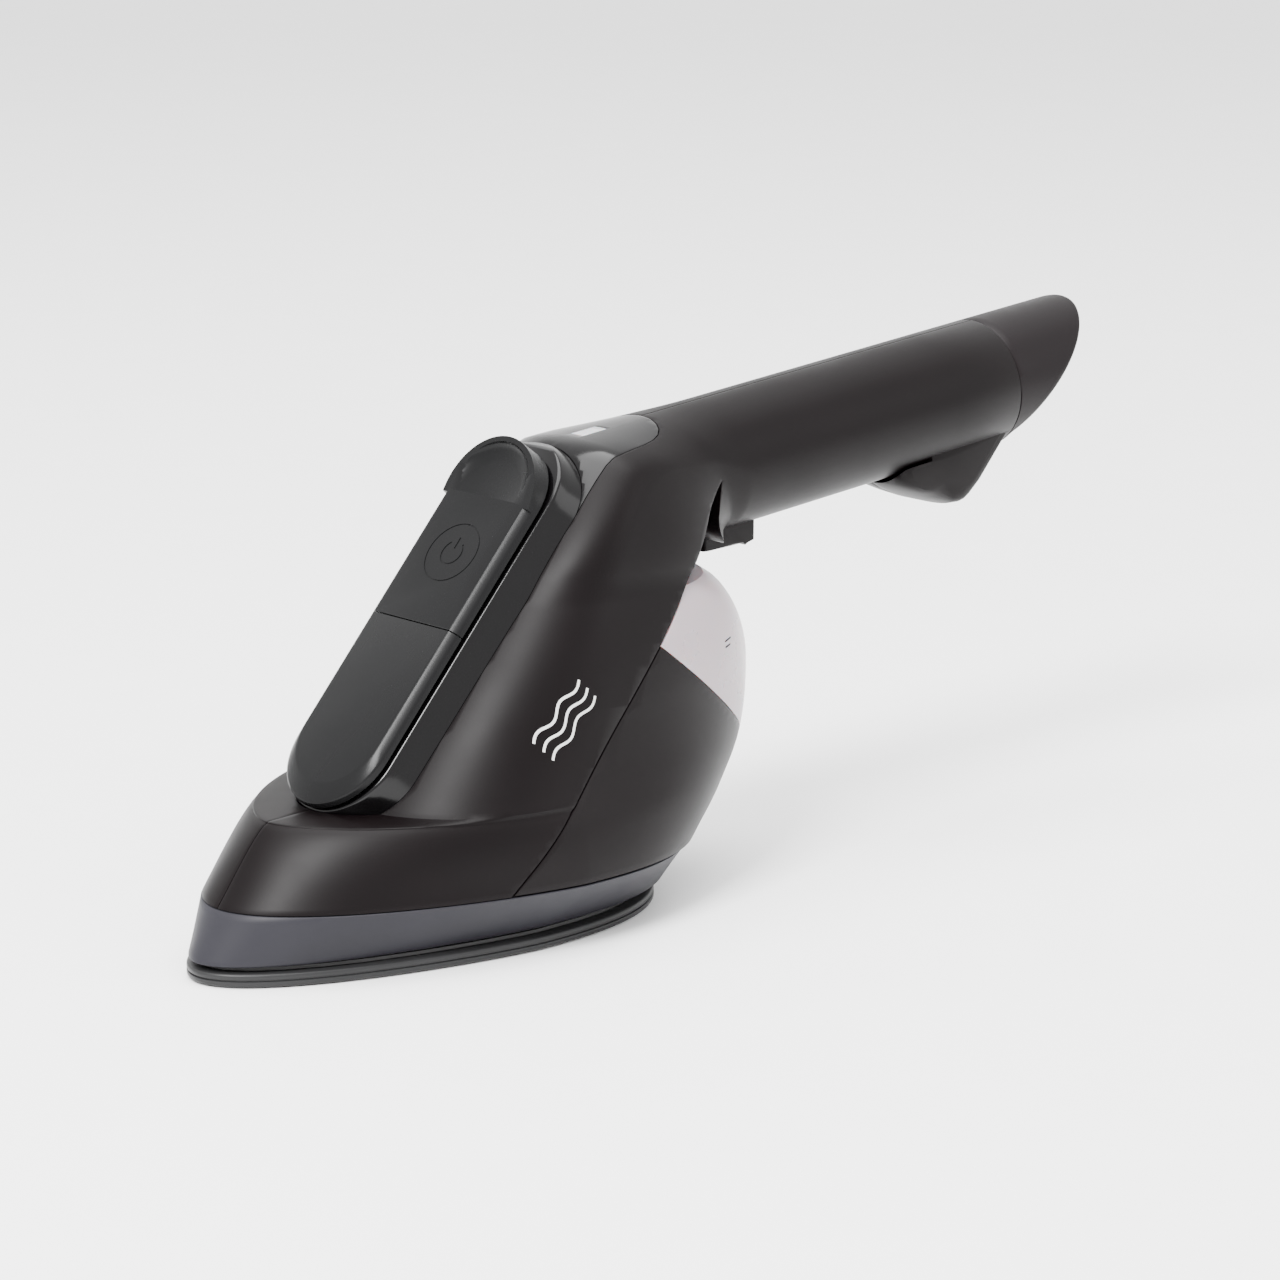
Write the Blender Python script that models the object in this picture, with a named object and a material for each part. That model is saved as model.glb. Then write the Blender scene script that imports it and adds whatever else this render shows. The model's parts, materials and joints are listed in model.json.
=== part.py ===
"""A hand-held steam iron with a tubular handle and a removable water tank.

The frame: +X runs from the toe to the handle's tail, +Z is up, and the origin is the middle of the
soleplate's ironing face. Sizes below are in millimetres, and every mesh is made in metres.
"""
import math

import bmesh
import bpy
from mathutils import Matrix, Vector

MM = 0.001

# Driving dimensions
SOLE_LENGTH = 144.0
SOLE_HALF_WIDTH = 37.7
SOLE_THICK = 3.6
SOLE_WIDEST = 0.577            # share of the length from toe to the widest point
GASKET_INSET = 3.0
SKIRT_TOP_Z = 17.8
SKIRT_BOTTOM_Z = 5.05
SKIRT_FOOT_REACH = (0.0, 4.4, -2.4)   # past the soleplate's nose, rear and side
SKIRT_HEAD_REACH = (-6.8, 6.4, 9.5)
SKIRT_WALL = 2.0
WALL = 2.4
FIT_GAP = 0.35                 # between pieces that touch
PARTING_GAP = 0.3              # between the two housing halves
PANEL_ANGLE = math.radians(48.1)
PANEL_FOOT = (-24.3, 56.0)     # centre of the cap's lower round end, on its top face
PANEL_HALF = 15.1
CAP_LENGTH = 73.0              # between the centres of the cap's round ends
CAP_SPLIT = 34.5               # the joint between the cover and the button
CAP_THICK = 3.7
CAP_SEAM = 1.1                 # more than the button's 0.7 mm of travel
CAP_CHAMFER = 1.8
CAP_TOE_CHAMFER = 3.0          # how much further the chamfer runs at the toe end
LIP_RISE = 3.6
PLINTH_HALF = 17.4
PLINTH_FLARE = 2.4
PLINTH_LENGTH = 76.5
PLINTH_DEPTH = 13.0
TRAY_HALF = 12.6
TRAY_FLOOR = 2.0
BUTTON_AT = 56.0               # the button's stem, along the panel
STEM_RADIUS = 2.0
STRIP_THICK = 1.1
HANDLE_ANGLE = math.radians(5.0)
HANDLE_START = (63.2, 104.8)   # a point on the handle's axis
HANDLE_RADIUS = 18.2
TAIL_CAP_AT = 144.0            # along the axis, from HANDLE_START
HEEL_POINT = (195.7, 89.1)
HEEL_ANGLE = math.radians(46.1)
TANK_PLANE_POINT = (-4.5, 18.4)
TANK_PLANE_ANGLE = math.radians(43.1)
TANK_SPLIT_POINT = (53.1, 72.2)
TANK_SPLIT_ANGLE = math.radians(-38.0)
TANK_TOP_POINT = (66.0, 84.9)
TANK_TOP_ANGLE = math.radians(-1.0)
TANK_GAP = 0.5
TANK_WALL = 2.0
FAN_PIVOT = (104.5, 87.0)
TRIGGER_START_X = 96.0
TRIGGER_LENGTH = 19.0
TRIGGER_HALF = 6.2
TRIGGER_DROP = 4.0

RING_POINTS = 32
SUPER_FRONT_LOW = (1.35, 1.95)
SUPER_FRONT_HIGH = (2.4, 2.3)
SUPER_REAR = (2.6, 2.0)
ROUND = (2.0, 2.0)
FAR = 400.0

# Horizontal hull stations: height, front x, widest x, rear x, half width
LOW_STATIONS = (
    (18.1, -65.0, 18.0, 80.0, 47.0),
    (22.0, -62.0, 18.5, 84.5, 46.6),
    (28.0, -57.5, 19.0, 90.5, 45.6),
    (33.0, -53.5, 20.0, 94.5, 44.5),
    (36.2, -51.0, 20.8, 96.8, 43.5),
    (37.4, -49.2, 21.2, 97.4, 43.1),
)
HIGH_STATIONS = (
    (38.2, 21.6, 97.8, 42.8),
    (46.0, 25.0, 100.8, 40.6),
    (54.0, 29.0, 103.0, 38.8),
    (63.0, 34.0, 103.4, 37.2),
    (73.0, 39.0, 102.6, 35.2),
    (81.0, 42.0, 101.4, 33.0),
    (86.9, 44.0, 100.4, 31.0),
)
# How far back the tank reaches at each height
TANK_REAR = ((18.1, 81.0), (22.0, 85.5), (27.0, 91.5), (33.0, 97.2), (37.4, 101.2), (38.2, 101.8),
             (46.0, 105.5), (54.0, 107.0), (60.0, 107.2), (66.0, 106.3), (72.0, 103.8), (78.0, 99.6),
             (82.0, 95.2), (85.5, 89.0), (87.5, 84.0))
FAN_ANGLES = (7, 14, 21, 27, 32, 38, 45, 53, 62, 71, 79, 85)
HANDLE_STEPS = (60, 90, 120, 150, 215)


# Shapes in plain coordinates

def lerp(a, b, t):
    return a + (b - a) * t


def smooth(t):
    t = min(max(t, 0.0), 1.0)
    return t * t * (3 - 2 * t)


def panel_point(along, depth):
    """(x, z) at a distance along the sloping panel and a depth under the cap's top face."""
    c, s = math.cos(PANEL_ANGLE), math.sin(PANEL_ANGLE)
    return PANEL_FOOT[0] + along * c + depth * s, PANEL_FOOT[1] + along * s - depth * c


def front_x(z, depth=9.5):
    """Where the hull's sloping front stands at a height."""
    x, foot = panel_point(0, depth)
    return x + (z - foot) / math.tan(PANEL_ANGLE)


def axis_z(x):
    return HANDLE_START[1] + (x - HANDLE_START[0]) * math.tan(HANDLE_ANGLE)


def super_ring(origin, direction, front, mid, rear, half, front_powers, rear_powers):
    """A closed ring in the plane of Y and direction. front, mid and rear are distances along direction."""
    ring = []
    for i in range(RING_POINTS):
        a = 2 * math.pi * i / RING_POINTS
        c, s = math.cos(a), math.sin(a)
        p, m = front_powers if c >= 0 else rear_powers
        reach = (front - mid) if c >= 0 else (mid - rear)
        u = mid + math.copysign(abs(c) ** (2 / p), c) * reach
        y = math.copysign(abs(s) ** (2 / m), s) * half
        ring.append((origin[0] + direction[0] * u, y, origin[1] + direction[1] * u))
    return ring


def flat_ring(z, nose, mid, rear, half, inset=0.0, front_powers=SUPER_FRONT_LOW):
    """A horizontal hull ring. Distances run towards the toe from the fan's pivot."""
    x = FAN_PIVOT[0]
    return super_ring((x, z), (-1, 0), x - nose - inset, x - mid, x - rear + inset, half - inset,
                      front_powers, SUPER_REAR)


def fan_ring(angle, inset):
    """A hull ring in a plane that has swung up about the pivot, from level towards the handle."""
    a = math.radians(angle)
    share = smooth(angle / FAN_ANGLES[-1])
    direction = (-math.cos(a), math.sin(a))
    slope = math.tan(PANEL_ANGLE)
    rise = panel_point(0, 9.5)[1] + slope * (FAN_PIVOT[0] - panel_point(0, 9.5)[0]) - FAN_PIVOT[1]
    to_panel = rise / (math.sin(a) + slope * math.cos(a))
    tilt = math.tan(HANDLE_ANGLE)
    over = axis_z(FAN_PIVOT[0]) + HANDLE_RADIUS / math.cos(HANDLE_ANGLE) - FAN_PIVOT[1]
    to_top = over / (math.sin(a) + tilt * math.cos(a))
    soft = 1.2
    gap = to_panel - to_top
    front = (to_panel + to_top - math.sqrt(gap * gap + soft * soft)) / 2
    rear = lerp(4.1, over - 2 * HANDLE_RADIUS, share)
    _, mid0, _, half0 = HIGH_STATIONS[-1]
    mid = lerp(FAN_PIVOT[0] - mid0, over - HANDLE_RADIUS, share)
    mid = min(mid, front - 14.0)
    half = lerp(half0, HANDLE_RADIUS, smooth(angle / 62.0))
    powers = tuple(lerp(h, r, share) for h, r in zip(SUPER_FRONT_HIGH, ROUND))
    back = tuple(lerp(h, r, share) for h, r in zip(SUPER_REAR, ROUND))
    return super_ring(FAN_PIVOT, direction, front - inset, mid, rear + inset, half - inset,
                      powers, back)


def handle_ring(along, inset):
    c, s = math.cos(HANDLE_ANGLE), math.sin(HANDLE_ANGLE)
    origin = (HANDLE_START[0] + along * c, HANDLE_START[1] + along * s)
    r = HANDLE_RADIUS - inset
    return super_ring(origin, (-s, c), r, 0.0, -r, r, ROUND, ROUND)


def level_rings(inset=0.0, floor=None, shelf_drop=0.0):
    """The hull's horizontal rings, moved inwards by inset, with the lowest one at a floor height."""
    rings = []
    for z, nose, mid, rear, half in LOW_STATIONS:
        z -= shelf_drop if z > 30 else 0.0
        rings.append(flat_ring(z, nose, mid, rear, half, inset))
    for z, mid, rear, half in HIGH_STATIONS:
        z -= shelf_drop if z < 40 else 0.0
        rings.append(flat_ring(z, front_x(z), mid, rear, half, inset, SUPER_FRONT_HIGH))
    if floor is None:
        return rings
    if floor < rings[0][0][2]:
        return [[(x, y, floor) for x, y, _ in rings[0]], *rings]
    above = [ring for ring in rings if ring[0][2] > floor + 0.5]
    return [[(x, y, floor) for x, y, _ in above[0]], *above]


def table_value(table, at):
    """Straight-line reading of a table of (at, value) rows."""
    for (a, va), (b, vb) in zip(table, table[1:]):
        if at <= b:
            return lerp(va, vb, max(0.0, (at - a) / (b - a)))
    return table[-1][1]


def hull_station(z):
    """Nose x, widest x and half width of the hull at a height below the fan."""
    low = [(row[0], row[1:]) for row in LOW_STATIONS]
    high = [(row[0], (front_x(row[0]), *row[1:])) for row in HIGH_STATIONS]
    rows = low + high
    return [table_value([(at, values[i]) for at, values in rows], z) for i in (0, 1, 3)]


def tank_rings(inset, floor):
    """Horizontal rings of the tank's own form, from a floor height up."""
    rings = []
    for z in (floor, *[row[0] for row in TANK_REAR[1:] if row[0] > floor + 1.0]):
        nose, mid, half = hull_station(z)
        rear = table_value(TANK_REAR, z)
        powers = SUPER_FRONT_LOW if z < 38.0 else SUPER_FRONT_HIGH
        rings.append(flat_ring(z, nose, mid, rear, half, inset, powers))
    return rings


def hull_rings(inset=0.0, floor=None, shelf_drop=0.0):
    """The hull from the skirt to beyond the tail, moved inwards by inset."""
    rings = level_rings(inset, floor, shelf_drop)
    rings += [fan_ring(angle, inset) for angle in FAN_ANGLES]
    rings += [handle_ring(step, inset) for step in HANDLE_STEPS]
    return rings


def sole_outline(length, half, nose_x, inset=0.0, count=40):
    """The soleplate's outline: a pointed toe and a round heel, as (x, y)."""
    mid = nose_x + length * SOLE_WIDEST
    front, back = mid - nose_x - inset, nose_x + length - mid - inset
    points = []
    for i in range(count):
        a = 2 * math.pi * i / count
        c, s = math.cos(a), math.sin(a)
        p, m = SUPER_FRONT_LOW if c < 0 else SUPER_REAR
        reach = front if c < 0 else back
        x = mid + math.copysign(abs(c) ** (2 / p), c) * reach
        points.append((x, math.copysign(abs(s) ** (2 / m), s) * (half - inset)))
    return points


def stadium(half, start, end, count=12, open_start=False, open_end=False):
    """A slot outline in (along, y). An open end is cut square instead of round."""
    points = []
    if open_start:
        points += [(start, -half)]
    if open_end:
        points += [(end, -half), (end, half)]
    else:
        points += [(end + half * math.sin(a), -half * math.cos(a))
                   for a in (math.pi * i / count for i in range(count + 1))]
    if open_start:
        points += [(start, half)]
    else:
        points += [(start - half * math.sin(a), half * math.cos(a))
                   for a in (math.pi * i / count for i in range(count + 1))]
    return points


# Meshes and objects

MATERIALS = {}


def material(name, colour, roughness, metallic=0.0, alpha=1.0):
    if name not in MATERIALS:
        made = bpy.data.materials.new(name)
        made.use_nodes = True
        shader = made.node_tree.nodes["Principled BSDF"]
        shader.inputs["Base Color"].default_value = (*colour, 1.0)
        shader.inputs["Roughness"].default_value = roughness
        shader.inputs["Metallic"].default_value = metallic
        shader.inputs["Alpha"].default_value = alpha
        MATERIALS[name] = made
    return MATERIALS[name]


def matte_black():
    return material("matte_black", (0.018, 0.017, 0.018), 0.45)


def gloss_black():
    return material("gloss_black", (0.02, 0.02, 0.021), 0.15)


def grey_plastic():
    return material("grey_plastic", (0.13, 0.13, 0.14), 0.5)


def sole_metal():
    return material("sole_metal", (0.2, 0.2, 0.21), 0.35, 0.8)


def cast_metal():
    return material("cast_metal", (0.6, 0.6, 0.62), 0.5, 0.9)


def steel():
    return material("steel", (0.65, 0.65, 0.67), 0.3, 1.0)


def clear_plastic():
    return material("clear_plastic", (0.75, 0.72, 0.73), 0.2, 0.0, 0.5)


def rubber():
    return material("rubber", (0.02, 0.02, 0.02), 0.8)


def silicone():
    return material("silicone", (0.75, 0.76, 0.74), 0.5)


def board_green():
    return material("board_green", (0.03, 0.2, 0.08), 0.5)


def white_plastic():
    return material("white_plastic", (0.7, 0.7, 0.68), 0.4)


def finish(name, mesh, surface, cutter=False):
    if surface:
        mesh.materials.append(surface)
    obj = bpy.data.objects.new(name, mesh)
    bpy.context.scene.collection.objects.link(obj)
    if cutter:
        obj.hide_render = True
        obj.display_type = "WIRE"
    else:
        mesh.shade_smooth()
        mesh.set_sharp_from_angle(angle=math.radians(35))
    return obj


def at_joint(obj, x, z):
    """Puts a moving piece's origin on the axis that it moves about or along."""
    point = Vector((x, 0, z)) * MM
    obj.data.transform(Matrix.Translation(-point))
    obj.location = point


def mesh_from(name, bm):
    bmesh.ops.recalc_face_normals(bm, faces=bm.faces)
    if bm.calc_volume(signed=True) < 0:
        bmesh.ops.reverse_faces(bm, faces=bm.faces)
    mesh = bpy.data.meshes.new(name)
    bm.to_mesh(mesh)
    bm.free()
    return mesh


def loft(name, rings, surface=None, cutter=False):
    """A closed body through rings of (x, y, z) points, all with the same count."""
    bm = bmesh.new()
    rows = [[bm.verts.new(Vector(p) * MM) for p in ring] for ring in rings]
    count = len(rings[0])
    for low, high in zip(rows, rows[1:]):
        for i in range(count):
            j = (i + 1) % count
            bm.faces.new((low[i], low[j], high[j], high[i]))
    bm.faces.new(list(reversed(rows[0])))
    bm.faces.new(rows[-1])
    return finish(name, mesh_from(name, bm), surface, cutter)


def plate(name, outline, z0, z1, surface=None, cutter=False, top_inset=None):
    """An upright prism over an outline of (x, y); top_inset makes the upper outline another one."""
    upper = top_inset or outline
    rings = [[(x, y, z0) for x, y in outline], [(x, y, z1) for x, y in upper]]
    return loft(name, rings, surface, cutter)


def side_prism(name, outline, half, surface=None, cutter=False, centre=0.0):
    """A prism across the iron over a side-view outline of (x, z)."""
    rings = [[(x, centre + side, z) for x, z in outline] for side in (-half, half)]
    return loft(name, rings, surface, cutter)


def panel_prism(name, outlines, surface=None, cutter=False):
    """A body on the sloping panel through (outline, depth) pairs, each outline in (along, y)."""
    rings = []
    for outline, depth in outlines:
        ring = []
        for along, y in outline:
            x, z = panel_point(along, depth)
            ring.append((x, y, z))
        rings.append(ring)
    return loft(name, rings, surface, cutter)


def rod(name, start, end, radius, surface=None, cutter=False, sides=20, end_radius=None):
    """A round bar between two points."""
    start, end = Vector(start) * MM, Vector(end) * MM
    bm = bmesh.new()
    bmesh.ops.create_cone(bm, cap_ends=True, segments=sides, radius1=radius * MM,
                          radius2=(end_radius or radius) * MM, depth=(end - start).length)
    turn = (end - start).to_track_quat("Z", "Y").to_matrix().to_4x4()
    bm.transform(Matrix.Translation((start + end) / 2) @ turn)
    return finish(name, mesh_from(name, bm), surface, cutter)


def block(name, centre, size, surface=None, cutter=False, tilt=0.0):
    """A box, tilted about Y so that its long side climbs towards the tail."""
    bm = bmesh.new()
    bmesh.ops.create_cube(bm, size=1.0)
    bm.transform(Matrix.Translation(Vector(centre) * MM) @ Matrix.Rotation(-tilt, 4, "Y")
                 @ Matrix.Diagonal((*[s * MM for s in size], 1.0)))
    return finish(name, mesh_from(name, bm), surface, cutter)


def tube(name, points, radius, surface, steps=4):
    """A bent tube through points, as a filled curve."""
    curve = bpy.data.curves.new(name, "CURVE")
    curve.dimensions = "3D"
    curve.bevel_depth = radius * MM
    curve.bevel_resolution = 1
    curve.use_fill_caps = True
    spline = curve.splines.new("POLY")
    path = catmull(points, steps)
    spline.points.add(len(path) - 1)
    for point, place in zip(spline.points, path):
        point.co = (*[c * MM for c in place], 1.0)
    curve.materials.append(surface)
    obj = bpy.data.objects.new(name, curve)
    bpy.context.scene.collection.objects.link(obj)
    return obj


def catmull(points, steps):
    """A smooth path through points."""
    vectors = [Vector(p) for p in points]
    padded = [2 * vectors[0] - vectors[1], *vectors, 2 * vectors[-1] - vectors[-2]]
    path = []
    for a, b, c, d in zip(padded, padded[1:], padded[2:], padded[3:]):
        for i in range(steps):
            t = i / steps
            path.append(0.5 * (2 * b + (c - a) * t + (2 * a - 5 * b + 4 * c - d) * t * t
                               + (3 * b - a - 3 * c + d) * t ** 3))
    return [*path, vectors[-1]]


def cut(obj, *cutters, operation="DIFFERENCE"):
    for cutter in cutters:
        modifier = obj.modifiers.new(f"{operation.lower()}_{cutter.name}", "BOOLEAN")
        modifier.operation = operation
        modifier.object = cutter
        modifier.solver = "EXACT"
    return obj


def join(obj, *others):
    return cut(obj, *others, operation="UNION")


def keep_inside(obj, *others):
    return cut(obj, *others, operation="INTERSECT")


# Cutters that several pieces share

def below_line(point, angle, offset, reach=FAR):
    """A side-view outline of everything below a line through point, moved down by offset."""
    c, s = math.cos(angle), math.sin(angle)
    px, pz = point[0] + s * offset, point[1] - c * offset
    a = (px - reach * c, pz - reach * s)
    b = (px + reach * c, pz + reach * s)
    return [a, b, (b[0] + reach * s, b[1] - reach * c), (a[0] + reach * s, a[1] - reach * c)]


def above_line(point, angle, offset, reach=FAR):
    """A side-view outline of everything above a line through point, moved up by offset."""
    c, s = math.cos(angle), math.sin(angle)
    px, pz = point[0] - s * offset, point[1] + c * offset
    a = (px - reach * c, pz - reach * s)
    b = (px + reach * c, pz + reach * s)
    return [a, b, (b[0] - reach * s, b[1] + reach * c), (a[0] - reach * s, a[1] + reach * c)]


def handle_plane(along, lift=0.0):
    """(x, z) at a distance along the handle's axis and a height over it."""
    c, s = math.cos(HANDLE_ANGLE), math.sin(HANDLE_ANGLE)
    return HANDLE_START[0] + along * c - lift * s, HANDLE_START[1] + along * s + lift * c


def notch_outline(grow):
    """The open space behind the housing: under the handle, over and behind the tank's front.

    Positive grow takes the space deeper into the housing."""
    c, s = math.cos(TANK_PLANE_ANGLE), math.sin(TANK_PLANE_ANGLE)
    start = (TANK_PLANE_POINT[0] - s * grow, TANK_PLANE_POINT[1] + c * grow)
    reach = 131.0
    apex = (start[0] + reach * c, start[1] + reach * s)
    low = -HANDLE_RADIUS - 0.4 + grow
    return [
        (start[0] - 60 * c, start[1] - 60 * s),
        apex,
        (apex[0] - 1.2 + grow * 0.6, apex[1] - 9.0),
        handle_plane(29.5 - grow * 0.4, low + 1.6),
        handle_plane(34.0 - grow * 0.2, low),
        handle_plane(120.0, low),
        handle_plane(120.0, low - FAR / 2),
        (start[0] - 60 * c + 30, -FAR / 3),
    ]


# The ironing end

STEAM_HOLES = [(x, side * y) for x, y in ((-50, 7), (-38, 14), (-22, 21), (-4, 24), (16, 25), (36, 23))
               for side in (-1, 1)]
SOLE_SCREWS = ((-46.0, 0.0), (48.0, 13.0), (48.0, -13.0))
SCREW_RADIUS = 1.3
SCREW_HEAD = 2.7
SOLE_NOSE = -SOLE_LENGTH / 2
CHAMBER_INSET = 10.5
CHAMBER_TOP_Z = 11.9
LID_THICK = 1.4
DECK_THICK = 2.0
HOSE_RADIUS = 1.9
LID_INLET = (-24.0, 0.0)


def sole_shape(inset, count=40):
    return sole_outline(SOLE_LENGTH, SOLE_HALF_WIDTH, SOLE_NOSE, inset, count)


def upright(name, x, y, z0, z1, radius, surface=None, cutter=True, sides=12):
    return rod(name, (x, y, z0), (x, y, z1), radius, surface, cutter, sides)


def steam_hole_cutters(name, radius, z0, z1):
    return [upright(f"{name}_{i}", x, y, z0, z1, radius, sides=8)
            for i, (x, y) in enumerate(STEAM_HOLES)]


def make_soleplate():
    rings = [[(x, y, z) for x, y in sole_shape(inset)]
             for z, inset in ((0.0, 1.0), (0.5, 0.2), (1.6, 0.0), (SOLE_THICK - 0.4, 0.1),
                              (SOLE_THICK, 0.5))]
    plate_body = loft("soleplate", rings, sole_metal())
    cut(plate_body, *steam_hole_cutters("sole_hole", 1.2, -1.0, SOLE_THICK + 1))


def make_gasket():
    z0 = SOLE_THICK + 0.3
    ring = plate("sole_gasket", sole_shape(GASKET_INSET), z0, SKIRT_BOTTOM_Z - 0.3, rubber())
    cut(ring, plate("gasket_bore", sole_shape(GASKET_INSET + 2.4), z0 - 1, SKIRT_BOTTOM_Z + 1,
                    cutter=True))


def make_steam_chamber():
    z0 = SOLE_THICK + 0.3
    body = plate("steam_chamber", sole_shape(CHAMBER_INSET), z0, CHAMBER_TOP_Z, cast_metal())
    hollow = plate("chamber_hollow", sole_shape(CHAMBER_INSET + 2.6), z0 + 2.0, CHAMBER_TOP_Z + 2,
                   cutter=True)
    cut(hollow, *[upright(f"chamber_boss_{i}", x, y, 0, 20, 4.0)
                  for i, (x, y) in enumerate(SOLE_SCREWS)])
    cut(body, hollow, *steam_hole_cutters("chamber_hole", 1.0, 2.0, z0 + 3))
    cut(body, *[upright(f"chamber_thread_{i}", x, y, z0 + 2.4, 20, SCREW_RADIUS + 0.2)
                for i, (x, y) in enumerate(SOLE_SCREWS)])


def make_chamber_lid():
    z0 = CHAMBER_TOP_Z + 0.3
    lid = plate("steam_chamber_lid", sole_shape(CHAMBER_INSET), z0, z0 + LID_THICK, steel())
    cut(lid, *[upright(f"lid_hole_{i}", x, y, 0, 30, SCREW_RADIUS + FIT_GAP)
               for i, (x, y) in enumerate(SOLE_SCREWS)])
    cut(lid, upright("lid_inlet", *LID_INLET, 0, 30, HOSE_RADIUS + FIT_GAP))


def make_heating_element():
    path = [(x, y, 6.4) for x, y in sole_shape(6.9, 24)][4:21]
    tube("heating_element", path, 1.4, steel(), steps=2)


def make_skirt():
    def outline(share, inset=0.0):
        reach = [lerp(a, b, share) for a, b in zip(SKIRT_FOOT_REACH, SKIRT_HEAD_REACH)]
        nose, rear = SOLE_NOSE - reach[0], SOLE_LENGTH / 2 + reach[1]
        return sole_outline(rear - nose, SOLE_HALF_WIDTH + reach[2], nose, inset)

    def height(share):
        return lerp(SKIRT_BOTTOM_Z, SKIRT_TOP_Z, share)

    skirt = loft("heat_shield_skirt",
                 [[(x, y, height(s)) for x, y in outline(s)] for s in (0, 0.5, 1)], grey_plastic())
    shares = (-0.1, 0.4, 1 - DECK_THICK / (SKIRT_TOP_Z - SKIRT_BOTTOM_Z))
    under = loft("skirt_hollow", [[(x, y, height(s)) for x, y in outline(s, SKIRT_WALL)]
                                  for s in shares], cutter=True)
    opening = plate("deck_opening", stadium(13.0, -32.0, -17.0), SKIRT_TOP_Z - 5, SKIRT_TOP_Z + 5,
                    cutter=True)
    cut(skirt, under, opening)
    cut(skirt, *[upright(f"deck_hole_{i}", x, y, 0, 30, SCREW_RADIUS + FIT_GAP)
                 for i, (x, y) in enumerate(SOLE_SCREWS)])
    cut(skirt, *[upright(f"deck_pocket_{i}", x, y, SKIRT_TOP_Z - 1.5, 30, SCREW_HEAD + FIT_GAP)
                 for i, (x, y) in enumerate(SOLE_SCREWS)])


def screw(name, head_end, tip, head_length=1.0):
    """A pan-head screw from its head to its tip, with a driver slot."""
    start, end = Vector(head_end), Vector(tip)
    way = (end - start).normalized()
    neck = start + way * head_length
    body = rod(name, neck - way * 0.2, end, SCREW_RADIUS, steel(), sides=12)
    head = rod(name + "_head", start, neck, SCREW_HEAD, cutter=True, sides=16)
    join(body, head)
    across = way.orthogonal().normalized()
    slot = block(name + "_slot", (0, 0, 0), (SCREW_HEAD * 1.5, 0.6, 0.8), cutter=True)
    turn = Matrix((across, way.cross(across), way)).transposed().to_4x4()
    slot.data.transform(Matrix.Translation(start * MM) @ turn)
    return cut(body, slot)


def make_sole_screws():
    for i, (x, y) in enumerate(SOLE_SCREWS, 1):
        top = SKIRT_TOP_Z - 0.2
        screw(f"sole_screw_{i}", (x, y, top), (x, y, SOLE_THICK + 3.2))


# The housing

HOOK_OUTLINE = ((211.0, 108.0), (199.0, 92.6), (194.2, 88.0), (191.2, 86.2), (187.3, 85.9),
                (179.0, 88.4), (173.8, 90.3), (168.9, 92.5), (165.0, 95.0), (162.6, 98.0),
                (162.0, 101.0), (165.0, 103.5), (186.0, 107.0))
HOOK_SECTIONS = ((-13.6, 3.0), (-12.4, 1.0), (-9.0, 0.0), (9.0, 0.0), (12.4, 1.0), (13.6, 3.0))
HOOK_SLIT = 1.3
HOOK_ROOT = 112.0              # how far along the handle the slit over the hook runs
HOUSING_SCREWS = ((-32.0, 27.5), (70.0, 112.5), (150.0, 104.5))
NOZZLE_Z = 30.0
NOZZLE_RADIUS = 3.0
STRIP_OUTLINE = ((26.0, 20.6), (34.0, 19.9), (44.0, 18.8), (52.0, 17.7), (62.0, 16.2), (70.0, 14.2),
                 (76.6, 10.0), (78.2, 5.5), (78.6, 0.0))
STRIP_FOOT_Z = 106.0
WINDOW_AT = (60.0, 0.0)
WINDOW_SIZE = (8.4, 4.6)


def pulled_in(outline, amount):
    """An outline of (x, z) drawn towards its middle by about amount."""
    cx = sum(p[0] for p in outline) / len(outline)
    cz = sum(p[1] for p in outline) / len(outline)
    moved = []
    for x, z in outline:
        d = math.hypot(x - cx, z - cz)
        moved.append((x + (cx - x) * amount / d, z + (cz - z) * amount / d))
    return moved


def make_hook(name):
    rings = [[(x, y, z) for x, z in pulled_in(HOOK_OUTLINE, amount)] for y, amount in HOOK_SECTIONS]
    hook = loft(name, rings, cutter=True)
    start, end = handle_plane(60.0), handle_plane(HOOK_ROOT)
    slit = rod(name + "_slit", (start[0], 0, start[1]), (end[0], 0, end[1]),
               HANDLE_RADIUS + HOOK_SLIT, cutter=True, sides=RING_POINTS)
    return cut(hook, slit)


def tail_solid(name):
    """The hull and the hook under the handle's tail, cut off at the sloping heel face."""
    solid = loft(name, hull_rings(), cutter=True)
    join(solid, make_hook(name + "_hook"))
    heel = side_prism(name + "_heel", below_line(HEEL_POINT, HEEL_ANGLE, 0.0), FAR / 2, cutter=True)
    return cut(solid, heel)


def cap_region(name, gap):
    """Everything beyond the seam between the housing and the end cap."""
    outline = [handle_plane(TAIL_CAP_AT + gap, 60), handle_plane(TAIL_CAP_AT + gap, -60),
               handle_plane(FAR, -60), handle_plane(FAR, 60)]
    return side_prism(name, outline, FAR / 4, cutter=True)


def strip_prism(name, grow):
    points = [(x + (grow if x > 70 else 0.0), y + (grow if y else 0.0)) for x, y in STRIP_OUTLINE]
    outline = [*points, *[(x, -y) for x, y in reversed(points[:-1])]]
    return plate(name, outline, STRIP_FOOT_Z, 150.0, cutter=True)


def plinth_prism(name, grow, top_depth, surface=None, cutter=True):
    """The plinth's flared block, or the hole for it when grown."""
    slope = PLINTH_FLARE / (PLINTH_DEPTH - CAP_THICK - CAP_SEAM)
    top_half = PLINTH_HALF + grow + slope * (top_depth - CAP_THICK - CAP_SEAM)
    outlines = [(stadium(top_half, -CAP_TOE_CHAMFER, PLINTH_LENGTH), top_depth),
                (stadium(PLINTH_HALF + PLINTH_FLARE + grow, -CAP_TOE_CHAMFER, PLINTH_LENGTH),
                 PLINTH_DEPTH + grow)]
    return panel_prism(name, outlines, surface, cutter)


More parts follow.
